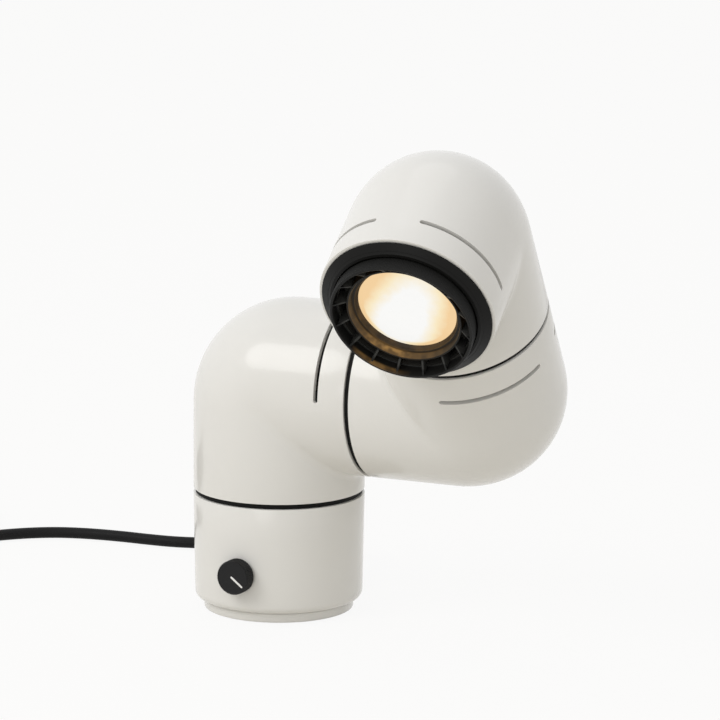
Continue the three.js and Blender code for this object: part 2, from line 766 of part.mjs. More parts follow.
// Route of the cord on the table, from the strain relief's end to the coil
function cordRoute() {
  const onTable = cordRadius;
  return [
    [0, gripEnd + seat, exitHeight], [0, gripEnd + 2 * cordRadius, exitHeight],
    [-0.4, 80, 13.8], [-3.4, 88.6, 12.4], [-9.4, 96.4, 9.9], [-18.4, 102, 7.1], [-30.5, 104.6, 4.7],
    [-42, 103, 3.1], [-52, 98.3, onTable], [-62, 92.6, onTable], [-74, 86, onTable], [-88, 79.6, onTable],
    [-99, 76.3, onTable], [-112, 74.7, onTable], [-124, 74, onTable], [-136, 72.6, onTable],
    [-148, 70, onTable], [-159, 65.8, onTable], [-169, 59.3, onTable], [-178.5, 50.2, onTable],
    [-186.4, 39.9, onTable], [-192.3, 31.9, onTable],
    ...coilEntry(),
  ];
}

// Last points of the route, straight towards the coil's first ring
function coilEntry() {
  const angle = radians(coilStartAngle);
  const [ax, ay] = [Math.cos(angle), Math.sin(angle)];
  const diameter = 2 * cordRadius;
  return [2 * diameter, diameter + seat].map((distance) => [
    coilCentreX + coilOuterRadius * ax - distance * ay,
    coilCentreY + coilOuterRadius * ay + distance * ax, cordRadius]);
}

// How far the coil is lifted where it lies over the tie
function tieLift(angle) {
  const away = THREE.MathUtils.euclideanModulo(angle - tieAngle + 180, 360) - 180;
  const share = Math.cos(radians(Math.min(Math.abs(away) / tieLiftReach, 1) * 90)) ** 2;
  return (tieThickness + 2 * seat) * share;
}

// Centre line of the coil: it spirals in along the table, climbs one layer, and spirals out again
function coilPoints() {
  const steps = Math.round(2 * coilLoopsPerLayer * coilSteps);
  const halfClimb = coilClimb_share / 2;
  return Array.from({ length: steps + 1 }, (_, step) => {
    const loops = step / coilSteps;
    const angle = coilStartAngle - 360 * loops;
    const inward = Math.min(loops, 2 * coilLoopsPerLayer - loops);
    const climb = THREE.MathUtils.smoothstep(loops - coilLoopsPerLayer, -halfClimb, halfClimb);
    const radius = coilOuterRadius - coilPitch * inward;
    return { angle: radians(angle), radius, height: cordRadius + coilLayer * climb + tieLift(angle) };
  });
}

function coilPlace({ angle, radius, height }, across = 0, up = 0) {
  return new THREE.Vector3(coilCentreX + (radius + across) * Math.cos(angle),
    coilCentreY + (radius + across) * Math.sin(angle), height + up);
}

function coilRing(point, along = 0) {
  const tangent = new THREE.Vector3(Math.sin(point.angle), -Math.cos(point.angle), 0);
  return circlePoints(cordRadius, coilSides).map(([across, up]) => coilPlace(point, across, up)
    .addScaledVector(tangent, along));
}

// Rings that lead on from the coil's last turn, straight and down to the plug's height
function tailRings(last) {
  return Array.from({ length: coilTailSteps }, (_, i) => {
    const along = (coilTail * (i + 1)) / coilTailSteps;
    const [from, to] = [coilTail * coilTailLevel_share, coilTail - 2 * cordRadius];
    const drop = THREE.MathUtils.smoothstep(along, from, to);
    const height = THREE.MathUtils.lerp(last.height, plugHeight / 2, drop);
    return coilRing({ ...last, height }, along);
  });
}

function cordCoil() {
  const points = coilPoints();
  const first = points[0];
  const last = points[points.length - 1];
  console.log('least gap between the coil\'s turns, mm:', leastCoilGap(points).toFixed(2));
  const start = coilRing(first, -2 * cordRadius);
  return loft([start, ...points.map((point) => coilRing(point)), ...tailRings(last)]);
}

function leastCoilGap(points) {
  const places = points.map((point) => coilPlace(point));
  let least = Infinity;
  for (let i = 0; i < places.length; i += 1) {
    for (let j = i + coilSteps / 2; j < places.length; j += 1) {
      least = Math.min(least, places[i].distanceTo(places[j]) - 2 * cordRadius);
    }
  }
  return least;
}

// Strap round the bundle of turns
function cordTie() {
  const halfAcross = (coilOuterRadius - coilInnerRadius) / 2 + cordRadius + tieSlack;
  const rise = coilLayer + 2 * cordRadius + 4 * seat;
  const outline = (grow) => {
    const [x, low, high] = [halfAcross + grow, tieThickness - grow, tieThickness + rise + grow];
    const round = tieCorner + grow;
    return [[-x + round, low], [x - round, low], [x, low + round], [x, high - round],
      [x - round, high], [-x + round, high], [-x, high - round], [-x, low + round]];
  };
  const strap = raised(outline(tieThickness), -tieWidth / 2, tieWidth / 2, [outline(0)]);
  const middle = (coilOuterRadius + coilInnerRadius) / 2;
  return strap.rotate([90, 0, 0]).translate([middle, 0, 0]).rotate([0, 0, tieAngle])
    .translate([coilCentreX, coilCentreY, 0]);
}

// Outline of a rectangle of two half sides with its corners cut off
function cutCorners(w, h, cut) {
  return [[-w + cut, -h], [w - cut, -h], [w, -h + cut], [w, h - cut], [w - cut, h], [-w + cut, h],
    [-w, h - cut], [-w, -h + cut]];
}

// Flat two-pin plug, made about +Z with the cord's end at zero, then laid where the coil ends
function plugPieces() {
  const points = coilPoints();
  const last = points[points.length - 1];
  const tip = coilPlace(last);
  const turn = THREE.MathUtils.radToDeg(last.angle) - 90;
  const tailStart = coilTail + seat;
  const bodyStart = tailStart + plugTailLength;
  const bodyEnd = bodyStart + plugLength;
  const [w, h] = [plugWidth / 2, plugHeight / 2];
  const tail = turned([[0, tailStart], [cordRadius + running, tailStart], [h - running, bodyStart + running],
    [0, bodyStart + running]], smallSides);
  const body = raised(cutCorners(w, h, plugHeight * cornerCut_share), bodyStart, bodyEnd).add(tail);
  const pin = (x) => turned([[0, bodyEnd + seat], [plugPinRadius, bodyEnd + seat],
    [plugPinRadius, bodyEnd + plugPinLength - plugPinRadius], [plugPinRadius / 2, bodyEnd + plugPinLength],
    [0, bodyEnd + plugPinLength]], smallSides).translate([x, 0, 0]);
  const lay = (part) => part.rotate([-90, 0, 0]).rotate([0, 0, turn - 90])
    .translate([tip.x, tip.y, plugHeight / 2]);
  return [
    piece('plug_body', lay(body), 'cord'),
    piece('plug_pin_1', lay(pin(-plugPinSpacing / 2)), 'brass'),
    piece('plug_pin_2', lay(pin(plugPinSpacing / 2)), 'brass'),
  ];
}

// Black bezel in the head's mouth, notched for the collar's lugs
function headFlange() {
  const body = turned([[flangeBore, -flangeDepth], [spigotRadius, -flangeDepth], [spigotRadius, seat],
    [flangeRimRadius, seat], [flangeRimRadius, seat + flangeRimHeight], [flangeStepRadius, flangeRise],
    [flangeStepRadius - flangeLip / 2, flangeRise], [flangeBore + flangeLip / 2, flangeRise + flangeLip],
    [flangeBore, flangeRise + flangeLip]], tubeSides);
  const notches = Array.from({ length: collarLugs }, (_, i) => {
    const middle = (360 * i) / collarLugs + collarNotchTurn;
    const half = collarLugSpread / 2 + collarNotchPlay;
    const reach = collarNeckRadius + collarLugReach + running;
    return arcBlock(flangeBore - overrun, reach, middle - half, middle + half,
      -flangeDepth - overrun, seat, lugSteps);
  });
  return notches.reduce((rest, notch) => rest.subtract(notch), body);
}

// Knurled collar that turns in the bezel on three lugs and holds the bulb by its rim.
// Sixteen ribs carry the stepped inner ring; the cells between them are open behind, for cooling.
function lampCollar() {
  const teeth = knurlPoints(collarRadius, collarToothDepth, collarTeeth);
  const grip = raised(teeth, collarKnurlStart, collarFront, [circlePoints(collarBore, tubeSides)]);
  const neckBottom = -flangeDepth - seat - collarLugHeight;
  const neck = ring(collarBore, collarNeckRadius, neckBottom, collarKnurlStart + seat, tubeSides);
  const [inWall, inRing] = [collarBore + collarWall / 2, ringRadius - ringLipWidth / 2];
  const lugs = Array.from({ length: collarLugs }, (_, i) => {
    const from = (360 * i) / collarLugs - collarLugSpread / 2;
    return arcBlock(inWall, collarNeckRadius + collarLugReach, from, from + collarLugSpread,
      neckBottom, -flangeDepth - seat, lugSteps);
  });
  const floorTopHeight = cellFloorThickness - cellFloorDepth;
  const hub = turned([[ringHoleRadius, ringBack], [bulbRadius + running, ringBack],
    [bulbRadius + running, -cellFloorDepth], [cellFloorRadius, -cellFloorDepth],
    [cellFloorRadius, floorTopHeight], [ringRadius, floorTopHeight], [ringRadius, ringTop],
    [ringRadius - ringLipWidth, ringTop], [ringStepRadius, ringStepHeight],
    [ringShelfRadius, ringStepHeight], [ringShelfRadius, ringShelfHeight],
    [ringHoleRadius, 0]], tubeSides);
  const slope = [[inRing, -cellFloorDepth], [inWall, -cellFloorDepth],
    [inWall, collarFront - ringLipWidth / 2], [inRing, ringTop]];
  const blade = raised(slope, -ribThickness / 2, ribThickness / 2).rotate([90, 0, 0]);
  const blades = Array.from({ length: ribs }, (_, i) => blade.rotate([0, 0, ribTurn + (360 * i) / ribs]));
  return union([grip, neck, ...lugs, hub, ...blades]);
}

function bulbGlass() {
  const rim = bulbRadius - bulbRimWall - seat;
  const shoulder = ringHoleRadius - running;
  const halfway = glassSeat + glassDome * glassDomeHalfway_share;
  return turned([[0, glassSeat + glassDome], [shoulder / 2, halfway], [shoulder, glassSeat],
    [rim, glassSeat], [rim, glassSeat - glassThickness], [0, glassSeat - glassThickness]]);
}

function bulbReflector() {
  const shelf = glassSeat - glassThickness - seat;
  const bowlTop = glassSeat - bulbRimHeight;
  const bottom = bowlTop - bulbBowlDepth;
  const bowl_shares = [[0.93, 0.1], [0.78, 0.4], [0.56, 0.75]];
  const radiusAt = (share) => bulbNeckRadius + (bulbRadius - bulbNeckRadius) * share;
  const outer = bowl_shares.map(([wide, deep]) => [radiusAt(wide), bowlTop - bulbBowlDepth * deep]);
  const inner = outer.map(([radius, height]) => [radius - bulbWall, height]);
  return turned([[0, bottom], [bulbNeckRadius, bottom], ...outer.reverse(), [bulbRadius, bowlTop],
    [bulbRadius, glassSeat], [bulbRadius - bulbRimWall, glassSeat], [bulbRadius - bulbRimWall, shelf],
    [bulbRadius - 2 * bulbWall, shelf], ...inner, [bulbNeckRadius - bulbWall, bottom + bulbWall],
    [0, bottom + bulbWall]]);
}

const bulbNeckEnd = glassSeat - bulbRimHeight - bulbBowlDepth;
const footEnd = bulbNeckEnd - seat - footLength;
const holderFront = footEnd - 2 * seat;
const holderBack = seat - springWasherRadius - bracketStand - elbowLeg;

function bulbFoot() {
  const [w, t] = [footWidth / 2, footThickness / 2];
  const outline = cutCorners(w, t, footThickness * cornerCut_share);
  return raised(outline, footEnd, bulbNeckEnd - seat).rotate([0, 0, 90]);
}

function bulbPin(y) {
  const start = footEnd - seat;
  const end = footEnd - pinLength;
  return turned([[0, end], [pinHeadRadius, end], [pinHeadRadius, end + pinHeadLength],
    [pinRadius, end + pinHeadLength], [pinRadius, start], [0, start]], smallSides).translate([0, y, 0]);
}

function lampHolder() {
  const body = rod(holderRadius, holderBack, holderFront);
  const holes = [-1, 1].map((side) => rod(holderHoleRadius, footEnd - pinLength - running,
    holderFront + overrun, smallSides).translate([0, (side * pinSpacing) / 2, 0]));
  return holes.reduce((rest, hole) => rest.subtract(hole), body);
}

// Angle bracket that stands on the head's deck and carries the lampholder, in the head's frame
const bracketFront = elbowLeg + holderBack - seat;
const bracketBack = bracketFront - bracketThickness;
const bracketFootEnd = bracketFootInset - tubeBore;
const bracketSeat = deckRecess + deckThickness + seat;

function holderBracket() {
  const half = bracketWidth / 2;
  const upright = block([bracketBack, -half, bracketSeat], [bracketFront, half, elbowLeg + bracketHead]);
  const foot = block([bracketFootEnd, -half, bracketSeat],
    [bracketBack + bracketThickness / 2, half, bracketSeat + bracketThickness]);
  const holes = bracketScrewPlaces().map(([x, y]) => rod(bracketScrewRadius + seat, bracketSeat - overrun,
    bracketSeat + overrun + bracketThickness, smallSides).translate([x, y, 0]));
  return holes.reduce((rest, hole) => rest.subtract(hole), upright.add(foot));
}

function bracketScrewPlaces() {
  const x = THREE.MathUtils.lerp(bracketFootEnd, bracketBack, bracketScrew_share);
  return [[x, -bracketScrewSpacing / 2], [x, bracketScrewSpacing / 2]];
}

function bracketScrew([x, y]) {
  const under = bracketSeat + bracketThickness + seat;
  const end = deckRecess + deckThickness - bracketScrewReach;
  const top = under + bracketScrewHeadHeight;
  return turned([[0, end], [bracketScrewRadius, end], [bracketScrewRadius, under],
    [bracketScrewHead, under], [bracketScrewHead, top], [0, top]], smallSides).translate([x, y, 0]);
}

function headShell() {
  const deckHigh = deckRecess + deckThickness;
  const holes = bracketScrewPlaces().map(([x, y]) => rod(bracketScrewRadius + seat,
    deckHigh - bracketScrewReach - seat, deckHigh + overrun, smallSides).translate([x, y, 0]));
  return holes.reduce((rest, hole) => rest.subtract(hole), elbowShell());
}

// Lead from the last axle's bore to the lampholder
function headLead() {
  const clear = nutTop + axleTail - tubeGap;
  const top = elbowLeg - holderRadius - seat;
  const aim = bracketFront + (holderFront - holderBack) / 2;
  return tubeAlong([[0, 0, seat - tubeGap], [0, 0, clear], [0, 0, clear + leadRadius],
    [aim / 2, 0, (clear + top) / 2], [aim, 0, top - leadRadius], [aim, 0, top]],
  leadRadius, cordSides, leadSteps);
}

function groupOf(children) {
  const group = new THREE.Group();
  group.add(...children);
  return group;
}

// Frame at an elbow's mouth: its Z looks out of the mouth and its X towards the elbow's own input axis
function mouthFrame(children) {
  const frame = groupOf(children);
  frame.position.set(elbowLeg, 0, elbowLeg);
  const axes = [[0, 0, 1], [0, -1, 0], [1, 0, 0]].map((axis) => new THREE.Vector3(...axis));
  const basis = new THREE.Matrix4().makeBasis(...axes);
  frame.quaternion.setFromRotationMatrix(basis);
  return frame;
}

// The next elbow, one gap beyond the face that it stands on
function elbowOn(turn, children) {
  const elbow = groupOf(children);
  elbow.position.z = tubeGap;
  elbow.rotation.z = radians(turn);
  return elbow;
}

function lampEnd() {
  return mouthFrame([
    piece('head_flange', headFlange(), 'black'),
    piece('lamp_collar', lampCollar(), 'black'),
    piece('bulb_glass', bulbGlass(), 'glass'),
    piece('bulb_reflector', bulbReflector(), 'mirror'),
    piece('bulb_foot', bulbFoot(), 'ceramic'),
    piece('bulb_pin_1', bulbPin(-pinSpacing / 2), 'steel'),
    piece('bulb_pin_2', bulbPin(pinSpacing / 2), 'steel'),
    piece('lamp_holder', lampHolder(), 'ceramic'),
  ]);
}

function head() {
  return elbowOn(headTurn, [
    piece('head_shell', headShell(), 'shell'),
    ...turningSwivelPieces('c'),
    piece('head_lead', headLead(), 'sleeve'),
    piece('holder_bracket', holderBracket(), 'steel'),
    ...numbered('bracket_screw', bracketScrewPlaces(), bracketScrew),
    lampEnd(),
  ]);
}

function middleElbow() {
  return elbowOn(middleTurn, [
    piece('middle_elbow_shell', elbowShell(), 'shell'),
    ...turningSwivelPieces('b'),
    piece('middle_lead', elbowLead(), 'sleeve'),
    mouthFrame([...fixedSwivelPieces('c', headTurn, headTravel), head()]),
  ]);
}

function lowerElbow() {
  const middleOfTravel = middleTurn + middleLowLimit + middleTravel / 2;
  return elbowOn(lowerTurn, [
    piece('lower_elbow_shell', elbowShell(), 'shell'),
    ...turningSwivelPieces('a'),
    piece('lower_lead', elbowLead(), 'sleeve'),
    mouthFrame([...fixedSwivelPieces('b', middleOfTravel, middleTravel), middleElbow()]),
  ]);
}

function baseTopFrame() {
  const frame = groupOf([...fixedSwivelPieces('a', lowerTurn, lowerTravel), lowerElbow()]);
  frame.position.z = baseTop;
  return frame;
}

function base() {
  const pointer = alongFront(pointerBar(0, knobFront - pointerDepth, knobFront), knobHeight);
  return groupOf([
    piece('foot_pad', rod(padRadius, 0, padThickness, tubeSides), 'pad'),
    piece('plinth', plinth(), 'shell'),
    piece('base_shell', baseShell(), 'shell'),
    piece('ballast_weight', ballast(), 'iron'),
    ...numbered('plinth_screw', screwPlaces(), plinthScrew),
    piece('dimmer_board', dimmerBoard(), 'board'),
    piece('dimmer_can', dimmerCan(), 'steel'),
    piece('dimmer_nut', dimmerNut(), 'steel'),
    piece('dimmer_shaft', dimmerShaft(), 'steel'),
    piece('dimmer_knob', dimmerKnob(), 'knob'),
    piece('knob_pointer', pointer, 'pointer'),
    piece('strain_relief', strainRelief(), 'cord'),
    piece('cord_clamp', cordClamp(), 'nylon'),
    ...numbered('clamp_screw', clampScrewPlaces(), clampScrew),
    piece('base_lead', baseLead(), 'sleeve'),
    piece('riser_lead', riserLead(), 'sleeve'),
  ]);
}

function mainsCord() {
  return groupOf([
    piece('power_cord', tubeAlong(cordRoute(), cordRadius, cordSides, cordSteps), 'cord'),
    piece('cord_coil', cordCoil(), 'cord'),
    piece('cord_tie', cordTie(), 'pad'),
    ...plugPieces(),
  ]);
}

const lamp = groupOf([base(), mainsCord(), baseTopFrame()]);

export default lamp;
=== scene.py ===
import json
import math

import bmesh
import bpy
from bpy.props import FloatProperty, FloatVectorProperty, IntProperty, PointerProperty
from mathutils import Matrix, Vector


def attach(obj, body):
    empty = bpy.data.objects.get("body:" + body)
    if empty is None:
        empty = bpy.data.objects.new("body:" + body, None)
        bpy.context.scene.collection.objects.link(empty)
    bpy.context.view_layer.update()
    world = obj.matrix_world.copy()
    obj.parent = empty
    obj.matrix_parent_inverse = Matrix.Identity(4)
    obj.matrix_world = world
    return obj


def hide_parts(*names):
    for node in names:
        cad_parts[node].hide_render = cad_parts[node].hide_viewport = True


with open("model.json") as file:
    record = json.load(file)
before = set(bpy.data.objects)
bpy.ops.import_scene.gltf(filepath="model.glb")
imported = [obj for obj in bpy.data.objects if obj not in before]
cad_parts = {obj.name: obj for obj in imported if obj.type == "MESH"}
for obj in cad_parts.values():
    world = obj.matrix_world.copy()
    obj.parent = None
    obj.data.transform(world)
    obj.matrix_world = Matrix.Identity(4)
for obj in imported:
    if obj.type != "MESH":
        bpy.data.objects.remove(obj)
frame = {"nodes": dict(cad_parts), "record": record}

bl_info = {
    "name": "Swivelling Elbow Table Lamp",
    "version": (1, 0, 0),
    "blender": (4, 5, 0),
    "location": "3D View > Sidebar > Lamp",
    "description": "Dresses the packed table lamp with smooth shells, a knurled collar, a lit bulb and its cord",
    "category": "Add Mesh",
}

MM = 0.001


def length_property(name, description, default):
    return FloatProperty(name=name, description=description, default=default, unit="LENGTH")


def angle_property(name, description, degrees):
    return FloatProperty(name=name, description=description, default=math.radians(degrees), subtype="ANGLE")


def colour_property(name, description, default):
    return FloatVectorProperty(name=name, description=description, default=default, subtype="COLOR", size=3, min=0.0,
                               max=1.0)


class LampSizes(bpy.types.PropertyGroup):
    """Sizes of the lamp's visible pieces"""

    tube_radius: length_property("Tube radius", "Outer radius of the base and of each elbow", 0.04)
    wall: length_property("Wall", "Thickness of the shells", 0.0026)
    elbow_leg: length_property("Elbow leg", "From an elbow's corner to its foot and to its mouth", 0.05)
    bend_radius: length_property("Bend radius", "From an elbow's inner bend axis to the tube's middle line", 0.0087)
    gap: length_property("Gap", "Black joint between two shells", 0.0024)
    rim_round: length_property("Rim rounding", "Rounding of the shells' rims", 0.0003)
    slot_inset: length_property("Slot inset", "From an elbow's mouth back to its vent slots", 0.0138)
    slot_width: length_property("Slot width", "Width of a vent slot", 0.0022)
    slot_start: angle_property("Slot start", "Turn from the bend's outer side to a vent slot's near end", 14.3)
    slot_end: angle_property("Slot end", "Turn from the bend's outer side to a vent slot's far end", 90.3)
    base_top: length_property("Base height", "Top of the base shell above the table", 0.0551)
    lower_turn: angle_property("Lower turn", "Turn of the lower elbow on the base", 2.93)
    middle_turn: angle_property("Middle turn", "Turn of the middle elbow on the lower one", 32.17)
    head_turn: angle_property("Head turn", "Turn of the head on the middle elbow", -86.36)
    knob_teeth: IntProperty(name="Knob teeth", description="Ridges round the dimmer knob", default=60, min=12)
    collar_teeth: IntProperty(name="Collar teeth", description="Ridges round the bulb collar", default=290, min=24)
    cord_diameter: length_property("Cord diameter", "Thickness of the mains cord", 0.0055)
    cord_length: length_property("Cord length", "Mains cord from its strain relief to its plug", 1.807)


class LampColours(bpy.types.PropertyGroup):
    """Colours of the lamp's finishes"""

    shell: colour_property("Shell", "Glossy white of the shells", (0.79, 0.785, 0.766))
    black: colour_property("Black", "Satin black of the collar, the bezel and the joints", (0.009, 0.009, 0.0085))
    knob: colour_property("Knob", "Matt black of the knob", (0.0095, 0.0095, 0.01))
    cord: colour_property("Cord", "Soft black of the cord and the plug", (0.01, 0.01, 0.0105))
    glow_middle: colour_property("Glow, middle", "Light in the bright part of the bulb's face", (0.9, 0.9, 0.89))
    glow_halfway: colour_property("Glow, halfway", "Light between the bright part and the edge", (0.9, 0.77, 0.52))
    glow_edge: colour_property("Glow, edge", "Light at the edge of the bulb's face", (0.86, 0.6, 0.32))
    # Painted light: emission colour that stands in for the bulb's light falling on the collar's inner ring and lip.
    painted_leak_light: colour_property("Leak", "Amber light on the collar's inner ring", (0.48, 0.26, 0.075))


def sizes():
    return bpy.context.scene.lamp_sizes


def colours():
    return bpy.context.scene.lamp_colours


# Frames of the lamp


def about(axis, degrees):
    return Matrix.Rotation(math.radians(degrees), 4, axis)


def raised(height):
    return Matrix.Translation((0, 0, height))


def facing(way, height):
    """Frame on the lamp's axis whose Z points to its front, with way 1, or to its back, with way -1."""
    return raised(height) @ about("X", 90 * way)


def mouth_of(foot):
    """Frame in an elbow's mouth: Z looks out of it and X points along the elbow's own foot axis."""
    leg = sizes().elbow_leg
    return foot @ Matrix(((0, 0, 1, leg), (0, -1, 0, 0), (1, 0, 0, leg), (0, 0, 0, 1)))


def foot_on(mouth, turn):
    """Frame at the foot of the elbow that stands on a mouth, one gap away."""
    return mouth @ raised(sizes().gap) @ Matrix.Rotation(turn, 4, "Z")


def places():
    """Frames of the lamp's feet and mouths, from the base to the head."""
    s = sizes()
    found = {"base_mouth": raised(s.base_top)}
    found["lower_foot"] = foot_on(found["base_mouth"], s.lower_turn)
    found["lower_mouth"] = mouth_of(found["lower_foot"])
    found["middle_foot"] = foot_on(found["lower_mouth"], s.middle_turn)
    found["middle_mouth"] = mouth_of(found["middle_foot"])
    found["head_foot"] = foot_on(found["middle_mouth"], s.head_turn)
    found["head_mouth"] = mouth_of(found["head_foot"])
    return found


# Modelling: each step that needs object mode begins by leaving edit mode

ELEMENTS = {
    "verts": ("VERT", lambda vert: [vert.co]),
    "edges": ("EDGE", lambda edge: [vert.co for vert in edge.verts]),
    "faces": ("FACE", lambda face: [face.calc_center_median()]),
}


def begin():
    """Leaves edit mode and selects nothing."""
    if bpy.context.object and bpy.context.object.mode != "OBJECT":
        bpy.ops.object.mode_set(mode="OBJECT")
    bpy.ops.object.select_all(action="DESELECT")


def only(obj):
    """Leaves edit mode and selects one piece."""
    begin()
    obj.select_set(True)
    bpy.context.view_layer.objects.active = obj


def edit(obj):
    """Enters edit mode on one piece, by its vertices."""
    only(obj)
    bpy.ops.object.mode_set(mode="EDIT")
    bpy.ops.mesh.select_mode(type="VERT")


def pick(obj, test, kind="verts"):
    """Selects what passes a test: a vertex by its place, an edge by its ends or a face by its middle."""
    mode, places_in = ELEMENTS[kind]
    bpy.ops.mesh.select_mode(type=mode)
    bpy.ops.mesh.select_all(action="DESELECT")
    mesh = bmesh.from_edit_mesh(obj.data)
    hits = [item for item in getattr(mesh, kind) if test(*places_in(item))]
    if not hits:
        raise RuntimeError(f"{obj.name} has no {kind} at the place that is shaped next")
    for item in hits:
        item.select_set(True)
    mesh.select_flush_mode()
    bmesh.update_edit_mesh(obj.data)


def pick_all():
    bpy.ops.mesh.select_all(action="SELECT")


def push(height):
    """Extrudes what is selected along Z."""
    bpy.ops.mesh.extrude_region_move(TRANSFORM_OT_translate={"value": (0, 0, height)})


def shift(x=0.0, y=0.0, z=0.0):
    """Moves what is selected, in millimetres."""
    bpy.ops.transform.translate(value=(x * MM, y * MM, z * MM))


def widen(share, height=0.0, share_y=None):
    """Scales what is selected across the Z axis at a height."""
    bpy.ops.transform.resize(value=(share, share_y or share, 1), center_override=(0, 0, height))


def merge_all(distance=5e-6):
    bpy.ops.mesh.select_mode(type="VERT")
    pick_all()
    bpy.ops.mesh.remove_doubles(threshold=distance)
    bpy.ops.mesh.normals_make_consistent(inside=False)


def modify(obj, kind, **settings):
    """Adds a modifier and applies it."""
    only(obj)
    modifier = obj.modifiers.new(kind.title(), kind)
    for key, value in settings.items():
        setattr(modifier, key, value)
    bpy.ops.object.modifier_apply(modifier=modifier.name)


def rounded(obj, width, segments=3, angle=40):
    """Rounds the edges that are sharper than an angle, by a width in millimetres."""
    modify(obj, "BEVEL", width=width * MM, segments=segments, limit_method="ANGLE",
           angle_limit=math.radians(angle), use_clamp_overlap=True)


def placed(obj, matrix=Matrix()):
    """Moves a piece to its frame, keeps the move in its mesh and returns the piece."""
    only(obj)
    obj.matrix_world = matrix @ obj.matrix_world
    bpy.ops.object.transform_apply(location=True, rotation=True, scale=True)
    return obj


def copied(obj):
    """A copy of a piece with its own mesh."""
    only(obj)
    bpy.ops.object.duplicate(linked=False)
    return bpy.context.object


def joined(objects):
    begin()
    for obj in objects:
        obj.select_set(True)
    bpy.context.view_layer.objects.active = objects[0]
    bpy.ops.object.join()
    return objects[0]


def around(piece, turns):
    """A piece and its copies, each turned about Z by its own angle in degrees."""
    pieces = [piece] + [copied(piece) for _ in turns[1:]]
    return [placed(one, about("Z", turn)) for one, turn in zip(pieces, turns)]


def block(middle, extent):
    """A cuboid in millimetres, from which a piece is shaped."""
    begin()
    bpy.ops.mesh.primitive_cube_add(size=1, location=[value * MM for value in middle])
    cuboid = bpy.context.object
    cuboid.scale = [value * MM for value in extent]
    return placed(cuboid)


def circle(sides, radius, height=0.0, **options):
    """A circle about Z, in edit mode."""
    begin()
    bpy.ops.mesh.primitive_circle_add(vertices=sides, radius=radius, location=(0, 0, height), **options)
    ring = bpy.context.object
    edit(ring)
    return ring


def turned(outline, sides=128):
    """Turns a closed outline of (radius, height) in millimetres about Z, ring by ring from a circle.

    An outline that starts and ends on the axis is closed there by fans.
    """
    rings = [(radius * MM, height * MM) for radius, height in outline if radius > 0]
    starts_on_axis = outline[0][0] == 0
    radius, height = rings[0]
    obj = circle(sides, radius, height)
    pick_all()
    if starts_on_axis:
        push(outline[0][1] * MM - height)
        bpy.ops.mesh.merge(type="CENTER")
        pick(obj, lambda co: abs(co.xy.length - radius) < 1e-6)
        following = rings[1:]
    else:
        following = rings[1:] + rings[:1]
    for next_radius, next_height in following:
        push(next_height - height)
        widen(next_radius / radius, next_height)
        radius, height = next_radius, next_height
    if starts_on_axis:
        push(outline[-1][1] * MM - height)
        bpy.ops.mesh.merge(type="CENTER")
    merge_all()
    return placed(obj)


def knurled(obj, radius, depth, low, high):
    """Draws in every other column of an outer wall, so that teeth are left between the columns."""
    edit(obj)

    def column_of(co):
        return round(math.degrees(math.atan2(co.y, co.x)) % 360, 3)

    def on_wall(co):
        return abs(co.xy.length - radius * MM) < 1e-5

    columns = sorted({column_of(v.co) for v in obj.data.vertices if on_wall(v.co)})
    drawn = set(columns[::2])
    pick(obj, lambda co: on_wall(co) and low * MM - 1e-6 < co.z < high * MM + 1e-6 and column_of(co) in drawn)
    widen((radius - depth) / radius)


def cut_away(obj, cutter):
    """Cuts one piece by another, and deletes the cutter."""
    modify(obj, "BOOLEAN", operation="DIFFERENCE", solver="EXACT", object=cutter)
    begin()
    cutter.select_set(True)
    bpy.ops.object.delete()


def completed(obj, name, body, slot, replaces, angle=35, finish=None):
    """Names a finished piece, shades it, gives it its finish and lets it ride on its body."""
    only(obj)
    obj.name = name
    obj.data.name = name
    bpy.ops.object.shade_smooth_by_angle(angle=math.radians(angle))
    obj.data.materials.clear()
    obj.data.materials.append(finish_for(finish or slot))
    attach(obj, body)
    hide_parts(*replaces)
    begin()
    return obj


# Finishes


class Wire:
    """A shader socket that takes part in Python expressions."""

    def __init__(self, finish, socket):
        self.finish = finish
        self.socket = socket

    def _maths(self, operation, first, second):
        return self.finish.wire(self.finish.node("ShaderNodeMath", {"operation": operation}, first, second), "Value")

    def __add__(self, other):
        return self._maths("ADD", self, other)

    def __radd__(self, other):
        return self._maths("ADD", other, self)

    def __sub__(self, other):
        return self._maths("SUBTRACT", self, other)

    def __rsub__(self, other):
        return self._maths("SUBTRACT", other, self)

    def __mul__(self, other):
        return self._maths("MULTIPLY", self, other)

    def __rmul__(self, other):
        return self._maths("MULTIPLY", other, self)

    def __truediv__(self, other):
        return self._maths("DIVIDE", self, other)

    def __rtruediv__(self, other):
        return self._maths("DIVIDE", other, self)

    def __pow__(self, other):
        return self._maths("POWER", self, other)

    def __rpow__(self, other):
        return self._maths("POWER", other, self)


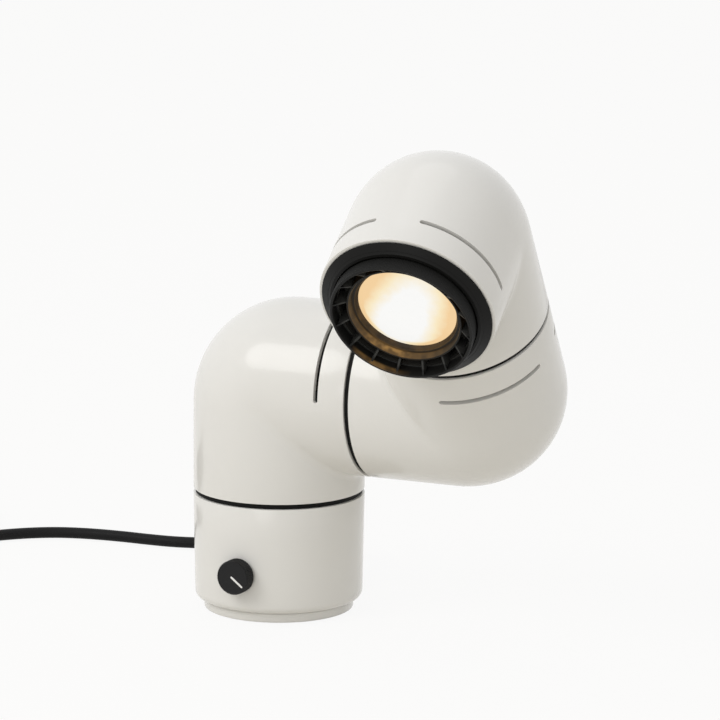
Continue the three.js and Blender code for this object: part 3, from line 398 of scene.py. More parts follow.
class Finish:
    """A material under construction: its node tree and its Principled shader."""

    def __init__(self, name, tree=None, **constants):
        if tree is None:
            self.material = bpy.data.materials.new(name)
            self.material.use_nodes = True
            tree = self.material.node_tree
        self.tree = tree
        self.tree.nodes.clear()
        if constants:
            self.shader = self.node("ShaderNodeBsdfPrincipled", {}, **constants)
            self.node("ShaderNodeOutputMaterial", {}, self.wire(self.shader, "BSDF"))

    def node(self, kind, settings, *values, **named):
        """Adds a node: its settings first, then the values or links of its sockets, by order or by name."""
        made = self.tree.nodes.new(kind)
        for key, value in settings.items():
            if key == "stops":
                ramp = made.color_ramp
                while len(ramp.elements) < len(value):
                    ramp.elements.new(0.5)
                for element, (place, colour) in zip(ramp.elements, value):
                    element.position = place
                    element.color = colour
            else:
                setattr(made, key, value)
        pairs = list(enumerate(values)) + [(key.replace("_", " "), value) for key, value in named.items()]
        for key, value in pairs:
            socket = made.inputs[key]
            if isinstance(value, Wire):
                self.tree.links.new(value.socket, socket)
            elif value is not None:
                socket.default_value = value
        return made

    def wire(self, node, output=0):
        return Wire(self, node.outputs[output])

    def place(self):
        """Object coordinates in metres."""
        return self.wire(self.node("ShaderNodeTexCoord", {}), "Object")

    def local(self, matrix):
        """Object coordinates as three values in millimetres in a frame of the lamp."""
        from_middle = self.wire(self.node("ShaderNodeVectorMath", {"operation": "SUBTRACT"}, self.place(),
                                          tuple(matrix.translation)))
        found = []
        for axis in range(3):
            along = tuple(matrix.col[axis].xyz / MM)
            dot = self.node("ShaderNodeVectorMath", {"operation": "DOT_PRODUCT"}, from_middle, along)
            found.append(self.wire(dot, "Value"))
        return found

    def distance(self, x, y):
        return (x * x + y * y) ** 0.5

    def rise(self, value, low, high, kind="LINEAR"):
        """Rise from 0 to 1 as the value goes from low to high."""
        node = self.node("ShaderNodeMapRange", {"interpolation_type": kind}, value, low, high, 0.0, 1.0)
        return self.wire(node)

    def step(self, value, low, high):
        return self.rise(value, low, high, "SMOOTHSTEP")

    def band(self, value, start, full, less, end):
        """1 where the value is between full and less, with soft edges out to start and end."""
        return self.step(value, start, full) * self.step(value, end, less)

    def noise(self, scale, detail=2.0, roughness=0.5, place=None):
        node = self.node("ShaderNodeTexNoise", {}, Vector=place or self.place(), Scale=scale, Detail=detail,
                         Roughness=roughness)
        return self.wire(node, "Fac")

    def cells(self, scale, feature="F1"):
        node = self.node("ShaderNodeTexVoronoi", {"feature": feature}, Vector=self.place(), Scale=scale)
        return self.wire(node, "Distance")

    def waves(self, direction, scale, distortion, detail):
        settings = {"wave_type": "BANDS", "bands_direction": direction}
        node = self.node("ShaderNodeTexWave", settings, Vector=self.place(), Scale=scale, Distortion=distortion,
                         Detail=detail)
        return self.wire(node, "Fac")

    def between(self, share, low, high):
        """Value from low to high as the share goes from 0 to 1."""
        return share * (high - low) + low

    def mixed(self, share, first, second):
        """Colour from the first to the second as the share goes from 0 to 1."""
        ends = [end if isinstance(end, Wire) else (*end, 1.0) for end in (first, second)]
        node = self.node("ShaderNodeMix", {"data_type": "RGBA"}, share, *[None] * 5, *ends)
        return self.wire(node, 2)

    def feed(self, socket, wire):
        self.tree.links.new(wire.socket, self.shader.inputs[socket])

    def made(self, colour, roughness, height, depth):
        """The material, with its colour, its roughness and a grain of the given height and depth."""
        self.feed("Base Color", colour)
        self.feed("Roughness", roughness)
        bump = self.node("ShaderNodeBump", {}, Strength=1.0, Distance=depth, Height=height)
        self.feed("Normal", self.wire(bump, "Normal"))
        return self.material


def shaded(colour, share):
    return tuple(min(1.0, value * share) for value in colour)


def moulded_finish(name, colour, roughness, spread, grain, grain_depth, drift, specular):
    """Moulded plastic or rubber: colour that drifts a little, patchy gloss and a fine grain."""
    finish = Finish(name, Roughness=roughness, Specular_IOR_Level=specular)
    cloud = finish.mixed(finish.noise(38.0, 3.0), shaded(colour, 1 - drift), shaded(colour, 1 + drift))
    smear = finish.between(finish.noise(160.0, 4.0, 0.6), roughness - spread, roughness + spread)
    return finish.made(cloud, smear, finish.noise(grain, 2.0), grain_depth)


def metal_finish(name, colour, roughness, stretch):
    """Machined metal: patchy gloss and fine tool marks, drawn out along Z."""
    finish = Finish(name, Metallic=1.0, Roughness=roughness)
    cloud = finish.mixed(finish.noise(120.0, 3.0), shaded(colour, 0.88), colour)
    stretched = finish.node("ShaderNodeMapping", {}, Vector=finish.place(), Scale=(1.0, 1.0, stretch))
    marks = finish.noise(900.0, 3.0, 0.6, place=finish.wire(stretched, "Vector"))
    return finish.made(cloud, finish.between(marks, roughness - 0.08, roughness + 0.12), marks, 0.000006)


def shell_finish():
    """Glossy white moulding: a faint flow of colour, rare specks and the soft waviness of its gloss."""
    colour = tuple(colours().shell)
    finish = Finish("shell_gloss", Roughness=0.2, Specular_IOR_Level=0.38, Coat_Weight=0.2, Coat_Roughness=0.08)
    warm = (colour[0] * 1.01, colour[1] * 1.005, colour[2] * 0.99)
    flow = finish.mixed(finish.noise(14.0, 3.0), shaded(colour, 0.985), warm)
    specks = finish.rise(finish.cells(420.0), 0.035, 0.0) * 0.05
    gloss = finish.between(finish.noise(55.0, 5.0, 0.65), 0.15, 0.26)
    waviness = finish.noise(90.0, 1.0) * 0.75 + finish.noise(1400.0, 1.0) * 0.25
    return finish.made(finish.mixed(specks, flow, shaded(colour, 0.7)), gloss, waviness, 0.000012)


def iron_finish():
    """Cast iron: dark, rough and pitted, with a little rust bloom."""
    finish = Finish("cast_iron", Metallic=0.5, Roughness=0.75)
    bloom = finish.noise(70.0, 6.0, 0.7)
    rusty = finish.mixed(finish.rise(bloom, 0.45, 0.7) * 0.5, (0.07, 0.07, 0.075), (0.13, 0.07, 0.045))
    pits = finish.cells(900.0) * 0.6 + finish.noise(500.0, 4.0) * 0.4
    return finish.made(rusty, finish.between(bloom, 0.6, 0.9), pits, 0.00012)


def board_finish():
    """Green circuit board with lighter traces and solder dots."""
    finish = Finish("board_green", Roughness=0.4)
    trace = finish.rise(finish.waves("X", 190.0, 3.0, 0.0), 0.62, 0.7)
    dots = finish.rise(finish.cells(330.0), 0.16, 0.1)
    green = finish.mixed(trace, (0.02, 0.1, 0.04), (0.05, 0.2, 0.08))
    dotted = finish.mixed(dots, green, (0.55, 0.55, 0.53))
    return finish.made(dotted, finish.between(trace, 0.45, 0.3), trace + dots, 0.00004)


def sleeve_finish():
    """Braided lead sleeve: crossing threads in a pale cloth."""
    finish = Finish("braided_sleeve", Roughness=0.85)
    along_x, along_y, along_z = (finish.waves(direction, 650.0, 1.0, 1.0) for direction in "XYZ")
    weave = along_x * along_y + along_z * 0.5
    cloth = finish.mixed(weave, (0.36, 0.31, 0.2), (0.68, 0.62, 0.48))
    return finish.made(cloth, finish.between(weave, 0.95, 0.75), weave, 0.00015)


def ceramic_finish():
    """Glazed ceramic: cloudy cream with an uneven gloss."""
    finish = Finish("glazed_ceramic", Roughness=0.3, IOR=1.55)
    cloud = finish.mixed(finish.noise(45.0, 4.0), (0.74, 0.69, 0.58), (0.84, 0.8, 0.71))
    gloss = finish.between(finish.noise(260.0, 3.0), 0.22, 0.42)
    return finish.made(cloud, gloss, finish.noise(700.0, 3.0), 0.00003)


def mirror_finish():
    """Reflector's metal coat, dimpled by its facets."""
    finish = Finish("reflector_coat", Metallic=1.0, Roughness=0.12)
    facet = finish.cells(260.0, "SMOOTH_F1")
    coat = finish.mixed(facet, (0.86, 0.85, 0.84), (0.8, 0.78, 0.74))
    return finish.made(coat, finish.between(finish.noise(90.0, 3.0), 0.08, 0.2), facet, 0.0003)


def glass_finish():
    """Lit pebbled glass: white where the beam comes through, amber towards its edge, mottled by its pebbles."""
    c = colours()
    finish = Finish("pebbled_glass", Roughness=0.3, Specular_IOR_Level=0.2, Emission_Strength=1.0)
    x, y, _ = finish.local(places()["head_mouth"])
    pebbles = finish.cells(300.0, "SMOOTH_F1")
    fine = finish.noise(420.0, 3.0, 0.6)
    drift = finish.noise(80.0, 3.0, 0.55)
    off_beam = finish.distance((y + x * 0.44 - 0.9) * 0.87, (x + 8.0) * 0.5) / 19.0
    rim = finish.step(finish.distance(x, y), 20.0, 21.9) * 0.28
    mottle = (pebbles - 0.3) * 0.08 + (fine - 0.5) * 0.08 + (drift - 0.5) * 0.16
    stops = [(0.5, (*c.glow_middle, 1)), (0.78, (*c.glow_halfway, 1)), (0.98, (*c.glow_edge, 1))]
    glow = finish.node("ShaderNodeValToRGB", {"stops": stops}, off_beam + rim + mottle)
    finish.feed("Emission Color", finish.wire(glow, "Color"))
    unlit = finish.mixed(pebbles, (0.03, 0.028, 0.022), (0.05, 0.046, 0.038))
    return finish.made(unlit, finish.between(fine, 0.2, 0.4), pebbles * 0.7 + fine * 0.3, 0.0003)


def collar_finish():
    """Satin black moulding with painted light: amber emission on its inner ring and lip, and its cells painted
    lighter, in place of the bulb's light.
    """
    c = colours()
    black = tuple(c.black)
    finish = Finish("collar_black", Roughness=0.4, Specular_IOR_Level=0.17, Emission_Strength=1.0)
    x, y, z = finish.local(places()["head_mouth"])
    away = finish.distance(x, y)
    moulded = finish.mixed(finish.noise(38.0, 3.0), shaded(black, 0.8), shaded(black, 1.1))
    # Painted light: the cells between the ribs are painted lighter than the black, standing in for the bulb's light
    # inside them.
    cells = finish.band(away, 26.2, 26.7, 30.6, 31.0) * finish.step(z, 8.4, 7.4)

    # Painted light: amber emission on the ring's slope, shelf, inner wall and lip, brighter on the low side and at
    # one corner, standing in for the bulb's light.
    patches = finish.step(finish.noise(160.0, 2.0, 0.5), 0.34, 0.66)
    painted_glow_low_side = finish.step(y * 0.6 - x, 1.0, 25.0)
    corner = finish.step((y * 0.53 - x * 0.85) / away, 0.88, 0.995)
    slope = finish.band(away, 24.3, 24.6, 26.0, 26.3) * finish.step(z, 5.4, 5.1)
    shelf = finish.band(away, 23.4, 23.7, 24.3, 24.6) * finish.step(z, 2.5, 2.3)
    inner_wall = finish.band(away, 22.0, 22.3, 23.4, 23.7)
    lip = finish.band(away, 30.4, 30.9, 31.2, 31.5) * finish.step(z, 7.0, 8.6)
    share = slope * (painted_glow_low_side * (patches * 0.12 + 0.1) + corner * (patches * 0.6 + 0.1) + 0.02)
    share = share + shelf * (corner * 0.12 + painted_glow_low_side * 0.03 + 0.01) + inner_wall * (patches * 0.08 + 0.05)
    share = share + lip * corner * (patches * 0.2 + 0.08)
    finish.feed("Emission Color", finish.mixed(share, (0.0, 0.0, 0.0), tuple(c.painted_leak_light)))
    gloss = finish.between(finish.noise(160.0, 4.0, 0.6), 0.34, 0.5)
    # Base colour: the satin black, painted lighter in the cells as painted light.
    return finish.made(finish.mixed(cells, moulded, shaded(black, 4.2)), gloss, finish.noise(2600.0, 2.0), 0.000014)


def mouldings():
    """Name, colour, roughness and its spread, grain's scale and depth, colour's drift, and specular level."""
    c = colours()
    return {
        "black": ("satin_black", shaded(c.black, 0.75), 0.4, 0.07, 2600.0, 0.000014, 0.15, 0.13),
        "joint": ("joint_black", shaded(c.black, 0.6), 0.6, 0.07, 1800.0, 0.00002, 0.15, 0.1),
        "knob": ("knob_black", tuple(c.knob), 0.5, 0.06, 2200.0, 0.00002, 0.12, 0.22),
        "cord": ("cord_black", tuple(c.cord), 0.5, 0.1, 1500.0, 0.00003, 0.2, 0.12),
        "pad": ("pad_rubber", (0.035, 0.035, 0.034), 0.85, 0.08, 1100.0, 0.00015, 0.2, 0.5),
        "nylon": ("nylon", (0.72, 0.69, 0.6), 0.5, 0.08, 900.0, 0.00004, 0.06, 0.5),
        "pointer": ("pointer_white", (0.84, 0.84, 0.83), 0.4, 0.05, 1800.0, 0.00001, 0.03, 0.5),
    }


METALS = {
    "steel": ("zinced_steel", (0.62, 0.62, 0.63), 0.34, 12.0),
    "brass": ("turned_brass", (0.72, 0.53, 0.24), 0.3, 14.0),
}
MAKERS = {
    "shell": shell_finish, "iron": iron_finish, "board": board_finish, "sleeve": sleeve_finish,
    "ceramic": ceramic_finish, "mirror": mirror_finish, "glass": glass_finish, "collar": collar_finish,
}
MADE = {}


def finish_for(slot):
    """The lamp's finish for a material slot, made once."""
    if slot not in MADE:
        if slot in MAKERS:
            MADE[slot] = MAKERS[slot]()
        elif slot in METALS:
            MADE[slot] = metal_finish(*METALS[slot])
        else:
            MADE[slot] = moulded_finish(*mouldings()[slot])
    return MADE[slot]


# Route of the mains cord, in millimetres, from the strain relief to the coil

CORD_RADIUS = 2.75
GRIP_END = 69.94
EXIT_HEIGHT = 14.0
DESCENT = [
    (0, 70.24, 14), (0, 75.44, 14), (-0.4, 80, 13.8), (-3.4, 88.6, 12.4), (-9.4, 96.4, 9.9), (-18.4, 102, 7.1),
    (-30.5, 104.6, 4.7), (-42, 103, 3.1),
]
ON_TABLE = [
    (-52, 98.3), (-62, 92.6), (-74, 86), (-88, 79.6), (-99, 76.3), (-112, 74.7), (-124, 74), (-136, 72.6),
    (-148, 70), (-159, 65.8), (-169, 59.3), (-178.5, 50.2), (-186.4, 39.9), (-192.3, 31.9), (-197.95, 24.09),
    (-201.08, 19.94),
]
COIL_MIDDLE = (-240, 42)
COIL_INNER_RADIUS = 22.4
COIL_PITCH = 6.1
COIL_LAYER = 6.1
COIL_START = 323
COIL_LOOPS = 3.6
COIL_OUTER_RADIUS = COIL_INNER_RADIUS + COIL_PITCH * COIL_LOOPS
COIL_TURNS = 173 / 24
COIL_TAIL = 40
TIE_ANGLE = 60
TIE_LIFT = 1.6
TIE_REACH = 60
PLUG_HALF_HEIGHT = 6.8


def smoothstep(value, low, high):
    share = min(1.0, max(0.0, (value - low) / (high - low)))
    return share * share * (3 - 2 * share)


def through(points, steps=5):
    """Points on a smooth curve through the given ones, spaced by the square root of their distances."""
    ends = [points[0] * 2 - points[1], *points, points[-1] * 2 - points[-2]]
    found = []
    for index in range(1, len(ends) - 2):
        p0, p1, p2, p3 = ends[index - 1:index + 3]
        t1 = math.sqrt((p1 - p0).length)
        t2 = t1 + math.sqrt((p2 - p1).length)
        t3 = t2 + math.sqrt((p3 - p2).length)
        for step in range(steps):
            t = t1 + (t2 - t1) * step / steps
            share = (t - t1) / (t2 - t1)
            middle = p1.lerp(p2, share)
            before = p0.lerp(p1, t / t1).lerp(middle, t / t2)
            after = middle.lerp(p2.lerp(p3, (t - t2) / (t3 - t2)), (t - t1) / (t3 - t1))
            found.append(before.lerp(after, share))
    return found + [points[-1]]


def coil_line(steps=36):
    """Centre line of the coil's turns, out and in again in two layers, and the direction in which it ends."""
    count = round(COIL_TURNS * steps)
    found = []
    for step in range(count + 1):
        loops = COIL_TURNS * step / count
        angle = COIL_START - 360 * loops
        inward = min(loops, 2 * COIL_LOOPS - loops)
        climb = smoothstep(loops, COIL_LOOPS - 0.25, COIL_LOOPS + 0.25)
        away = (angle - TIE_ANGLE + 180) % 360 - 180
        lift = TIE_LIFT * math.cos(math.radians(away / TIE_REACH * 90)) ** 2 if abs(away) < TIE_REACH else 0
        radius = COIL_OUTER_RADIUS - COIL_PITCH * inward
        turn = math.radians(angle)
        found.append(Vector((COIL_MIDDLE[0] + radius * math.cos(turn), COIL_MIDDLE[1] + radius * math.sin(turn),
                             CORD_RADIUS + COIL_LAYER * climb + lift)))
    return found, Vector((math.sin(turn), -math.cos(turn), 0))


def cord_line():
    """Whole centre line of the cord in metres, and the direction in which its tail meets the plug."""
    coil, direction = coil_line()
    last = coil[-1]
    tail = []
    for step in range(1, 9):
        along = COIL_TAIL * step / 8
        drop = smoothstep(along, COIL_TAIL * 0.33, COIL_TAIL - 5.5)
        tail.append(Vector((last.x, last.y, last.z + (PLUG_HALF_HEIGHT - last.z) * drop)) + direction * along)
    route = DESCENT + [(x, y, CORD_RADIUS) for x, y in ON_TABLE]
    free = through([Vector(point) for point in route])
    return [point * MM for point in free + coil + tail], direction


def plug_frame():
    """Frame at the cord's end, whose Z runs on along the cord and whose Y is up."""
    line, direction = cord_line()
    across = Vector((0, 0, 1)).cross(direction)
    basis = Matrix((across, Vector((0, 0, 1)), direction)).transposed().to_4x4()
    return Matrix.Translation(line[-1]) @ basis


# Operators


class LAMP_OT_stage(bpy.types.Operator):
    """Makes the floor, the lights, the pale surroundings and the photograph's camera"""

    bl_idname = "lamp.stage"
    bl_label = "Stage"

    TURN = about("Z", 27.6)
    PHOTO_SIZE = 720
    FOCAL_PIXELS = 4785.105
    SENSOR = 36
    SHADOW_SHARE = 0.09
    AIM = Vector((0.03, -0.03, 0.1))
    # name, place, width and height in metres, watts and colour
    SOFTBOXES = (
        ("key_softbox", (-1.12, -0.72, 1.2), 1.1, 1.0, 9.4, (1.0, 0.995, 0.985)),
        ("top_softbox", (0.1, 0.7, 1.9), 1.2, 1.2, 1.6, (1.0, 0.99, 0.98)),
        ("side_softbox", (1.8, -0.9, 0.8), 1.0, 1.2, 0.9, (1.0, 0.985, 0.96)),
        ("front_softbox", (-0.7, -1.9, 0.4), 1.1, 0.8, 3.2, (1.0, 0.995, 0.98)),
    )

    def execute(self, context):
        scene = context.scene
        scene.view_settings.view_transform = "Standard"
        self.camera(scene)
        self.floor()
        self.surroundings(scene)
        self.lights()
        return {"FINISHED"}

    def camera(self, scene):
        begin()
        right = Vector((0.99985294, -0.01577393, 0.00672928))
        down = Vector((0.0034416, -0.19984856, -0.97982075))
        ahead = Vector((0.01680047, 0.97969982, -0.19976489))
        place = self.TURN @ Vector((0, -2.180449, 0.562148))
        bpy.ops.object.camera_add(location=place)
        camera = bpy.context.object
        basis = Matrix((self.TURN @ right, self.TURN @ -down, self.TURN @ -ahead)).transposed().to_4x4()
        camera.matrix_world = Matrix.Translation(place) @ basis
        camera.data.sensor_width = self.SENSOR
        camera.data.lens = self.SENSOR * self.FOCAL_PIXELS / self.PHOTO_SIZE
        camera.data.clip_start = 0.05
        camera.data.clip_end = 60
        scene.camera = camera

    def seen(self, finish):
        """1 for the rays that show the white surroundings: the camera's, a gloss's and those through glass."""
        light = finish.node("ShaderNodeLightPath", {})
        direct = finish.wire(light, "Is Camera Ray") + finish.wire(light, "Is Glossy Ray")
        return direct + finish.wire(light, "Is Transmission Ray")

    def floor(self):
        begin()
        bpy.ops.mesh.primitive_plane_add(size=24, location=(0, 0, -0.0003))
        floor = bpy.context.object
        floor.name = "floor"
        finish = Finish("pale_floor")
        pale = finish.mixed(finish.noise(40.0, 3.0), (0.71, 0.68, 0.61), (0.74, 0.71, 0.64))
        diffuse = finish.node("ShaderNodeBsdfDiffuse", {}, pale)
        white = finish.node("ShaderNodeEmission", {}, (1.0, 1.0, 1.0, 1.0), 1.0)
        share = self.seen(finish) * (1 - self.SHADOW_SHARE)
        mix = finish.node("ShaderNodeMixShader", {}, share, finish.wire(diffuse), finish.wire(white))
        finish.node("ShaderNodeOutputMaterial", {}, finish.wire(mix))
        floor.data.materials.append(finish.material)

    def surroundings(self, scene):
        world = bpy.data.worlds.new("studio")
        scene.world = world
        world.use_nodes = True
        air = Finish("studio", tree=world.node_tree)
        dim = air.node("ShaderNodeBackground", {}, (1.0, 0.99, 0.975, 1.0), 0.65)
        white = air.node("ShaderNodeBackground", {}, (1.0, 1.0, 1.0, 1.0), 1.0)
        mix = air.node("ShaderNodeMixShader", {}, self.seen(air), air.wire(dim), air.wire(white))
        air.node("ShaderNodeOutputWorld", {}, air.wire(mix))

    def lights(self):
        for name, place, width, height, power, colour in self.SOFTBOXES:
            begin()
            spot = self.TURN @ Vector(place)
            bpy.ops.object.light_add(type="AREA", location=spot)
            lamp = bpy.context.object
            lamp.name = name
            lamp.rotation_euler = (self.AIM - spot).to_track_quat("-Z", "Y").to_euler()
            lamp.data.shape = "ELLIPSE"
            lamp.data.size = width
            lamp.data.size_y = height
            lamp.data.energy = power
            lamp.data.color = colour


class LAMP_OT_mains_cord(bpy.types.Operator):
    """Lays the mains cord with its coil, strain relief, tie and plug"""

    bl_idname = "lamp.mains_cord"
    bl_label = "Mains Cord"

    PLUG_TAIL = [(0, 0.3), (3.4, 0.3), (3.7, 1.2), (3.0, 1.6), (3.0, 2.4), (3.9, 2.7), (4.1, 3.6), (3.3, 4.0),
                 (3.3, 4.8), (4.4, 5.1), (4.7, 6.0), (3.8, 6.4), (3.8, 7.2), (5.2, 7.6), (5.6, 11), (0, 11)]
    PIN = [(0, 43.3), (2, 43.3), (2, 60), (1.9, 60.8), (1.55, 61.5), (1.0, 61.9), (0, 62)]
    PIN_OFFSET = 9.5

    def execute(self, context):
        relief, plug = self.strain_relief(), self.plug()
        first = turned(self.PIN, 32)
        pins = [self.plugged(pin, index, side)
                for pin, index, side in ((first, 1, self.PIN_OFFSET), (copied(first), 2, -self.PIN_OFFSET))]
        self.cord([relief, plug, *pins, self.tie()])
        return {"FINISHED"}

    def cord(self, on_it):
        s = sizes()
        points, _ = cord_line()
        curve = bpy.data.curves.new("mains_cord", "CURVE")
        curve.dimensions = "3D"
        curve.bevel_depth = s.cord_diameter / 2
        curve.bevel_resolution = 5
        curve.use_fill_caps = True
        spline = curve.splines.new("POLY")
        spline.points.add(len(points) - 1)
        for place, point in zip(spline.points, points):
            place.co = (*point, 1)
        spline.use_smooth = True
        cord = bpy.data.objects.new("mains_cord", curve)
        bpy.context.scene.collection.objects.link(cord)
        curve.materials.append(finish_for("cord"))
        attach(cord, "base")
        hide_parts("power_cord", "cord_coil")

    def strain_relief(self):
        """Collar in the base's wall and a tapered tail with grooves round it."""
        root, root_radius, end_radius, grooves = 41.94, 5.4, 3.5, 6
        pitch = (GRIP_END - root) / (grooves + 1)
        outline = [(0, 34), (6.0, 34), (6.0, 36), (4.4, 36), (4.4, 39.9), (5.9, 39.9), (6.0, 40.3), (6.0, 41.5),
                   (5.6, root), (root_radius, root)]
        for index in range(1, grooves + 1):
            radius = root_radius + (end_radius - root_radius) * index / (grooves + 1)
            middle = root + index * pitch
            outline += [(radius, middle - 0.8), (radius - 0.75, middle - 0.6), (radius - 0.75, middle + 0.6),
                        (radius - 0.05, middle + 0.8)]
        outline += [(end_radius, GRIP_END - 0.2), (3.2, GRIP_END + 0.2), (0, GRIP_END + 0.2)]
        relief = turned(outline, 48)
        rounded(relief, 0.15, 2, 30)
        return completed(placed(relief, facing(-1, EXIT_HEIGHT * MM)), "cord_grip", "base", "cord", ["strain_relief"])

    def plug(self):
        """Body that narrows towards the cord, with a recessed front, and its ribbed tail."""
        body = block((0, 0, 26.3), (24.6, 13.2, 33.8))
        edit(body)
        pick(body, lambda co: co.z < 0.012, "faces")
        widen(0.68, 0.0094, 0.86)
        rounded(body, 2.6, 5, 50)
        edit(body)
        pick(body, lambda co: co.z > 0.04319, "faces")
        bpy.ops.mesh.inset(thickness=0.0007, depth=0)
        push(-0.0005)
        whole = placed(joined([body, turned(self.PLUG_TAIL, 40)]), plug_frame())
        return completed(whole, "plug_moulding", "base", "cord", ["plug_body"])

    def plugged(self, pin, index, side):
        placed(pin, plug_frame() @ Matrix.Translation((side * MM, 0, 0)))
        return completed(pin, f"plug_contact_{index}", "base", "brass", [f"plug_pin_{index}"])

    def tie(self):
        """Flat strap that stands round the coil's section."""
        slack, corner, width = 1.6, 3.0, 11.8
        half = (COIL_OUTER_RADIUS - COIL_INNER_RADIUS) / 2 + CORD_RADIUS + slack
        low, high = 0.5, COIL_LAYER + 2 * CORD_RADIUS + 2.7
        tie = circle(48, corner * MM)
        for way in (-1, 1):
            pick(tie, lambda co: co.x * way > 1e-7)
            shift(x=way * (half - corner))
        for way, end in ((1, high), (-1, low)):
            pick(tie, lambda co: co.y * way > -1e-7)
            shift(y=end - way * corner)
        pick_all()
        push(width * MM)
        merge_all()
        placed(tie)
        modify(tie, "SOLIDIFY", thickness=0.0009, offset=0.0)
        rounded(tie, 0.2, 2, 50)
        middle = (COIL_OUTER_RADIUS + COIL_INNER_RADIUS) / 2
        stand = about("X", 90) @ raised(-width / 2 * MM)
        coil_place = Matrix.Translation((COIL_MIDDLE[0] * MM, COIL_MIDDLE[1] * MM, 0))
        placed(tie, coil_place @ about("Z", TIE_ANGLE) @ Matrix.Translation((middle * MM, 0, 0)) @ stand)
        return completed(tie, "coil_strap", "base", "pad", ["cord_tie"])


class LAMP_OT_base(bpy.types.Operator):
    """Models the base shell, its plinth and the foot pad"""

    bl_idname = "lamp.base"
    bl_label = "Base"

    PLINTH = [(0, 1.5), (32.8, 1.5), (32.8, 0.3), (34.4, 0.3), (34.8, 0.5), (35.0, 0.9), (35.0, 3.9), (34.85, 4.35),
              (34.5, 4.7), (32.7, 4.7), (32.7, 7.2), (0, 7.2)]
    PAD = [(0, 0), (32.2, 0), (32.5, 0.3), (32.5, 0.9), (32.2, 1.2), (0, 1.2)]

    def execute(self, context):
        self.shell()
        completed(turned(self.PLINTH, 160), "plinth_moulding", "base", "shell", ["plinth"], 50)
        completed(turned(self.PAD), "foot_rubber", "base", "pad", ["foot_pad"])
        return {"FINISHED"}

    def shell(self):
        """Drum that widens a little towards its top, with a round foot and holes for the dimmer and the cord."""
        s = sizes()
        radius, top, wall, rim = s.tube_radius / MM, s.base_top / MM, s.wall / MM, s.rim_round / MM
        foot_radius, foot, round_off, floor_radius = 39.2, 5.0, 3.5, 33

        def outer(height):
            return foot_radius + (radius - foot_radius) * (height - foot) / (top - foot)

        outline = [(floor_radius, foot)]
        for step in range(9):
            angle = math.radians(90 * step / 8)
            outline.append((foot_radius - round_off + round_off * math.sin(angle),
                            foot + round_off - round_off * math.cos(angle)))
        outline += [(outer(height), height) for height in (9.2, 18.6, 27.6, 40.0, top - rim)]
        outline += [(outer(top) - rim * 0.3, top - rim * 0.3), (outer(top) - rim, top), (radius - wall, top),
                    (radius - wall, top - 10), (foot_radius - wall, foot + 2.2), (floor_radius, foot + 2.2)]
        shell = turned(outline, 180)
        for frame_of, hole in ((facing(1, 0.023), 4.2), (facing(-1, EXIT_HEIGHT * MM), 4.75)):
            cut_away(shell, placed(turned([(0, 20), (hole, 20), (hole, 50), (0, 50)], 48), frame_of))
        completed(shell, "base_skin", "base", "shell", ["base_shell"], 40)


class LAMP_OT_joint_discs(bpy.types.Operator):
    """Turns the black discs that show in the gaps between the shells"""

    bl_idname = "lamp.joint_discs"
    bl_label = "Joint Discs"

    DISC = [(5.3, -1.1), (34.1, -1.1), (34.1, -8), (37.1, -8), (37.1, 0.3), (38.8, 0.3), (39.0, 0.5), (39.0, 1.9),
            (38.8, 2.1), (14, 2.1), (14, 5), (5.3, 5)]

    def execute(self, context):
        found = places()
        first = turned(self.DISC)
        for disc, letter, mouth, body in ((first, "a", "base_mouth", "base"),
                                          (copied(first), "b", "lower_mouth", "lower_elbow"),
                                          (copied(first), "c", "middle_mouth", "middle_elbow")):
            placed(disc, found[mouth])
            completed(disc, f"joint_disc_{letter}", body, "black", [f"coupling_disc_{letter}"], finish="joint")
        return {"FINISHED"}


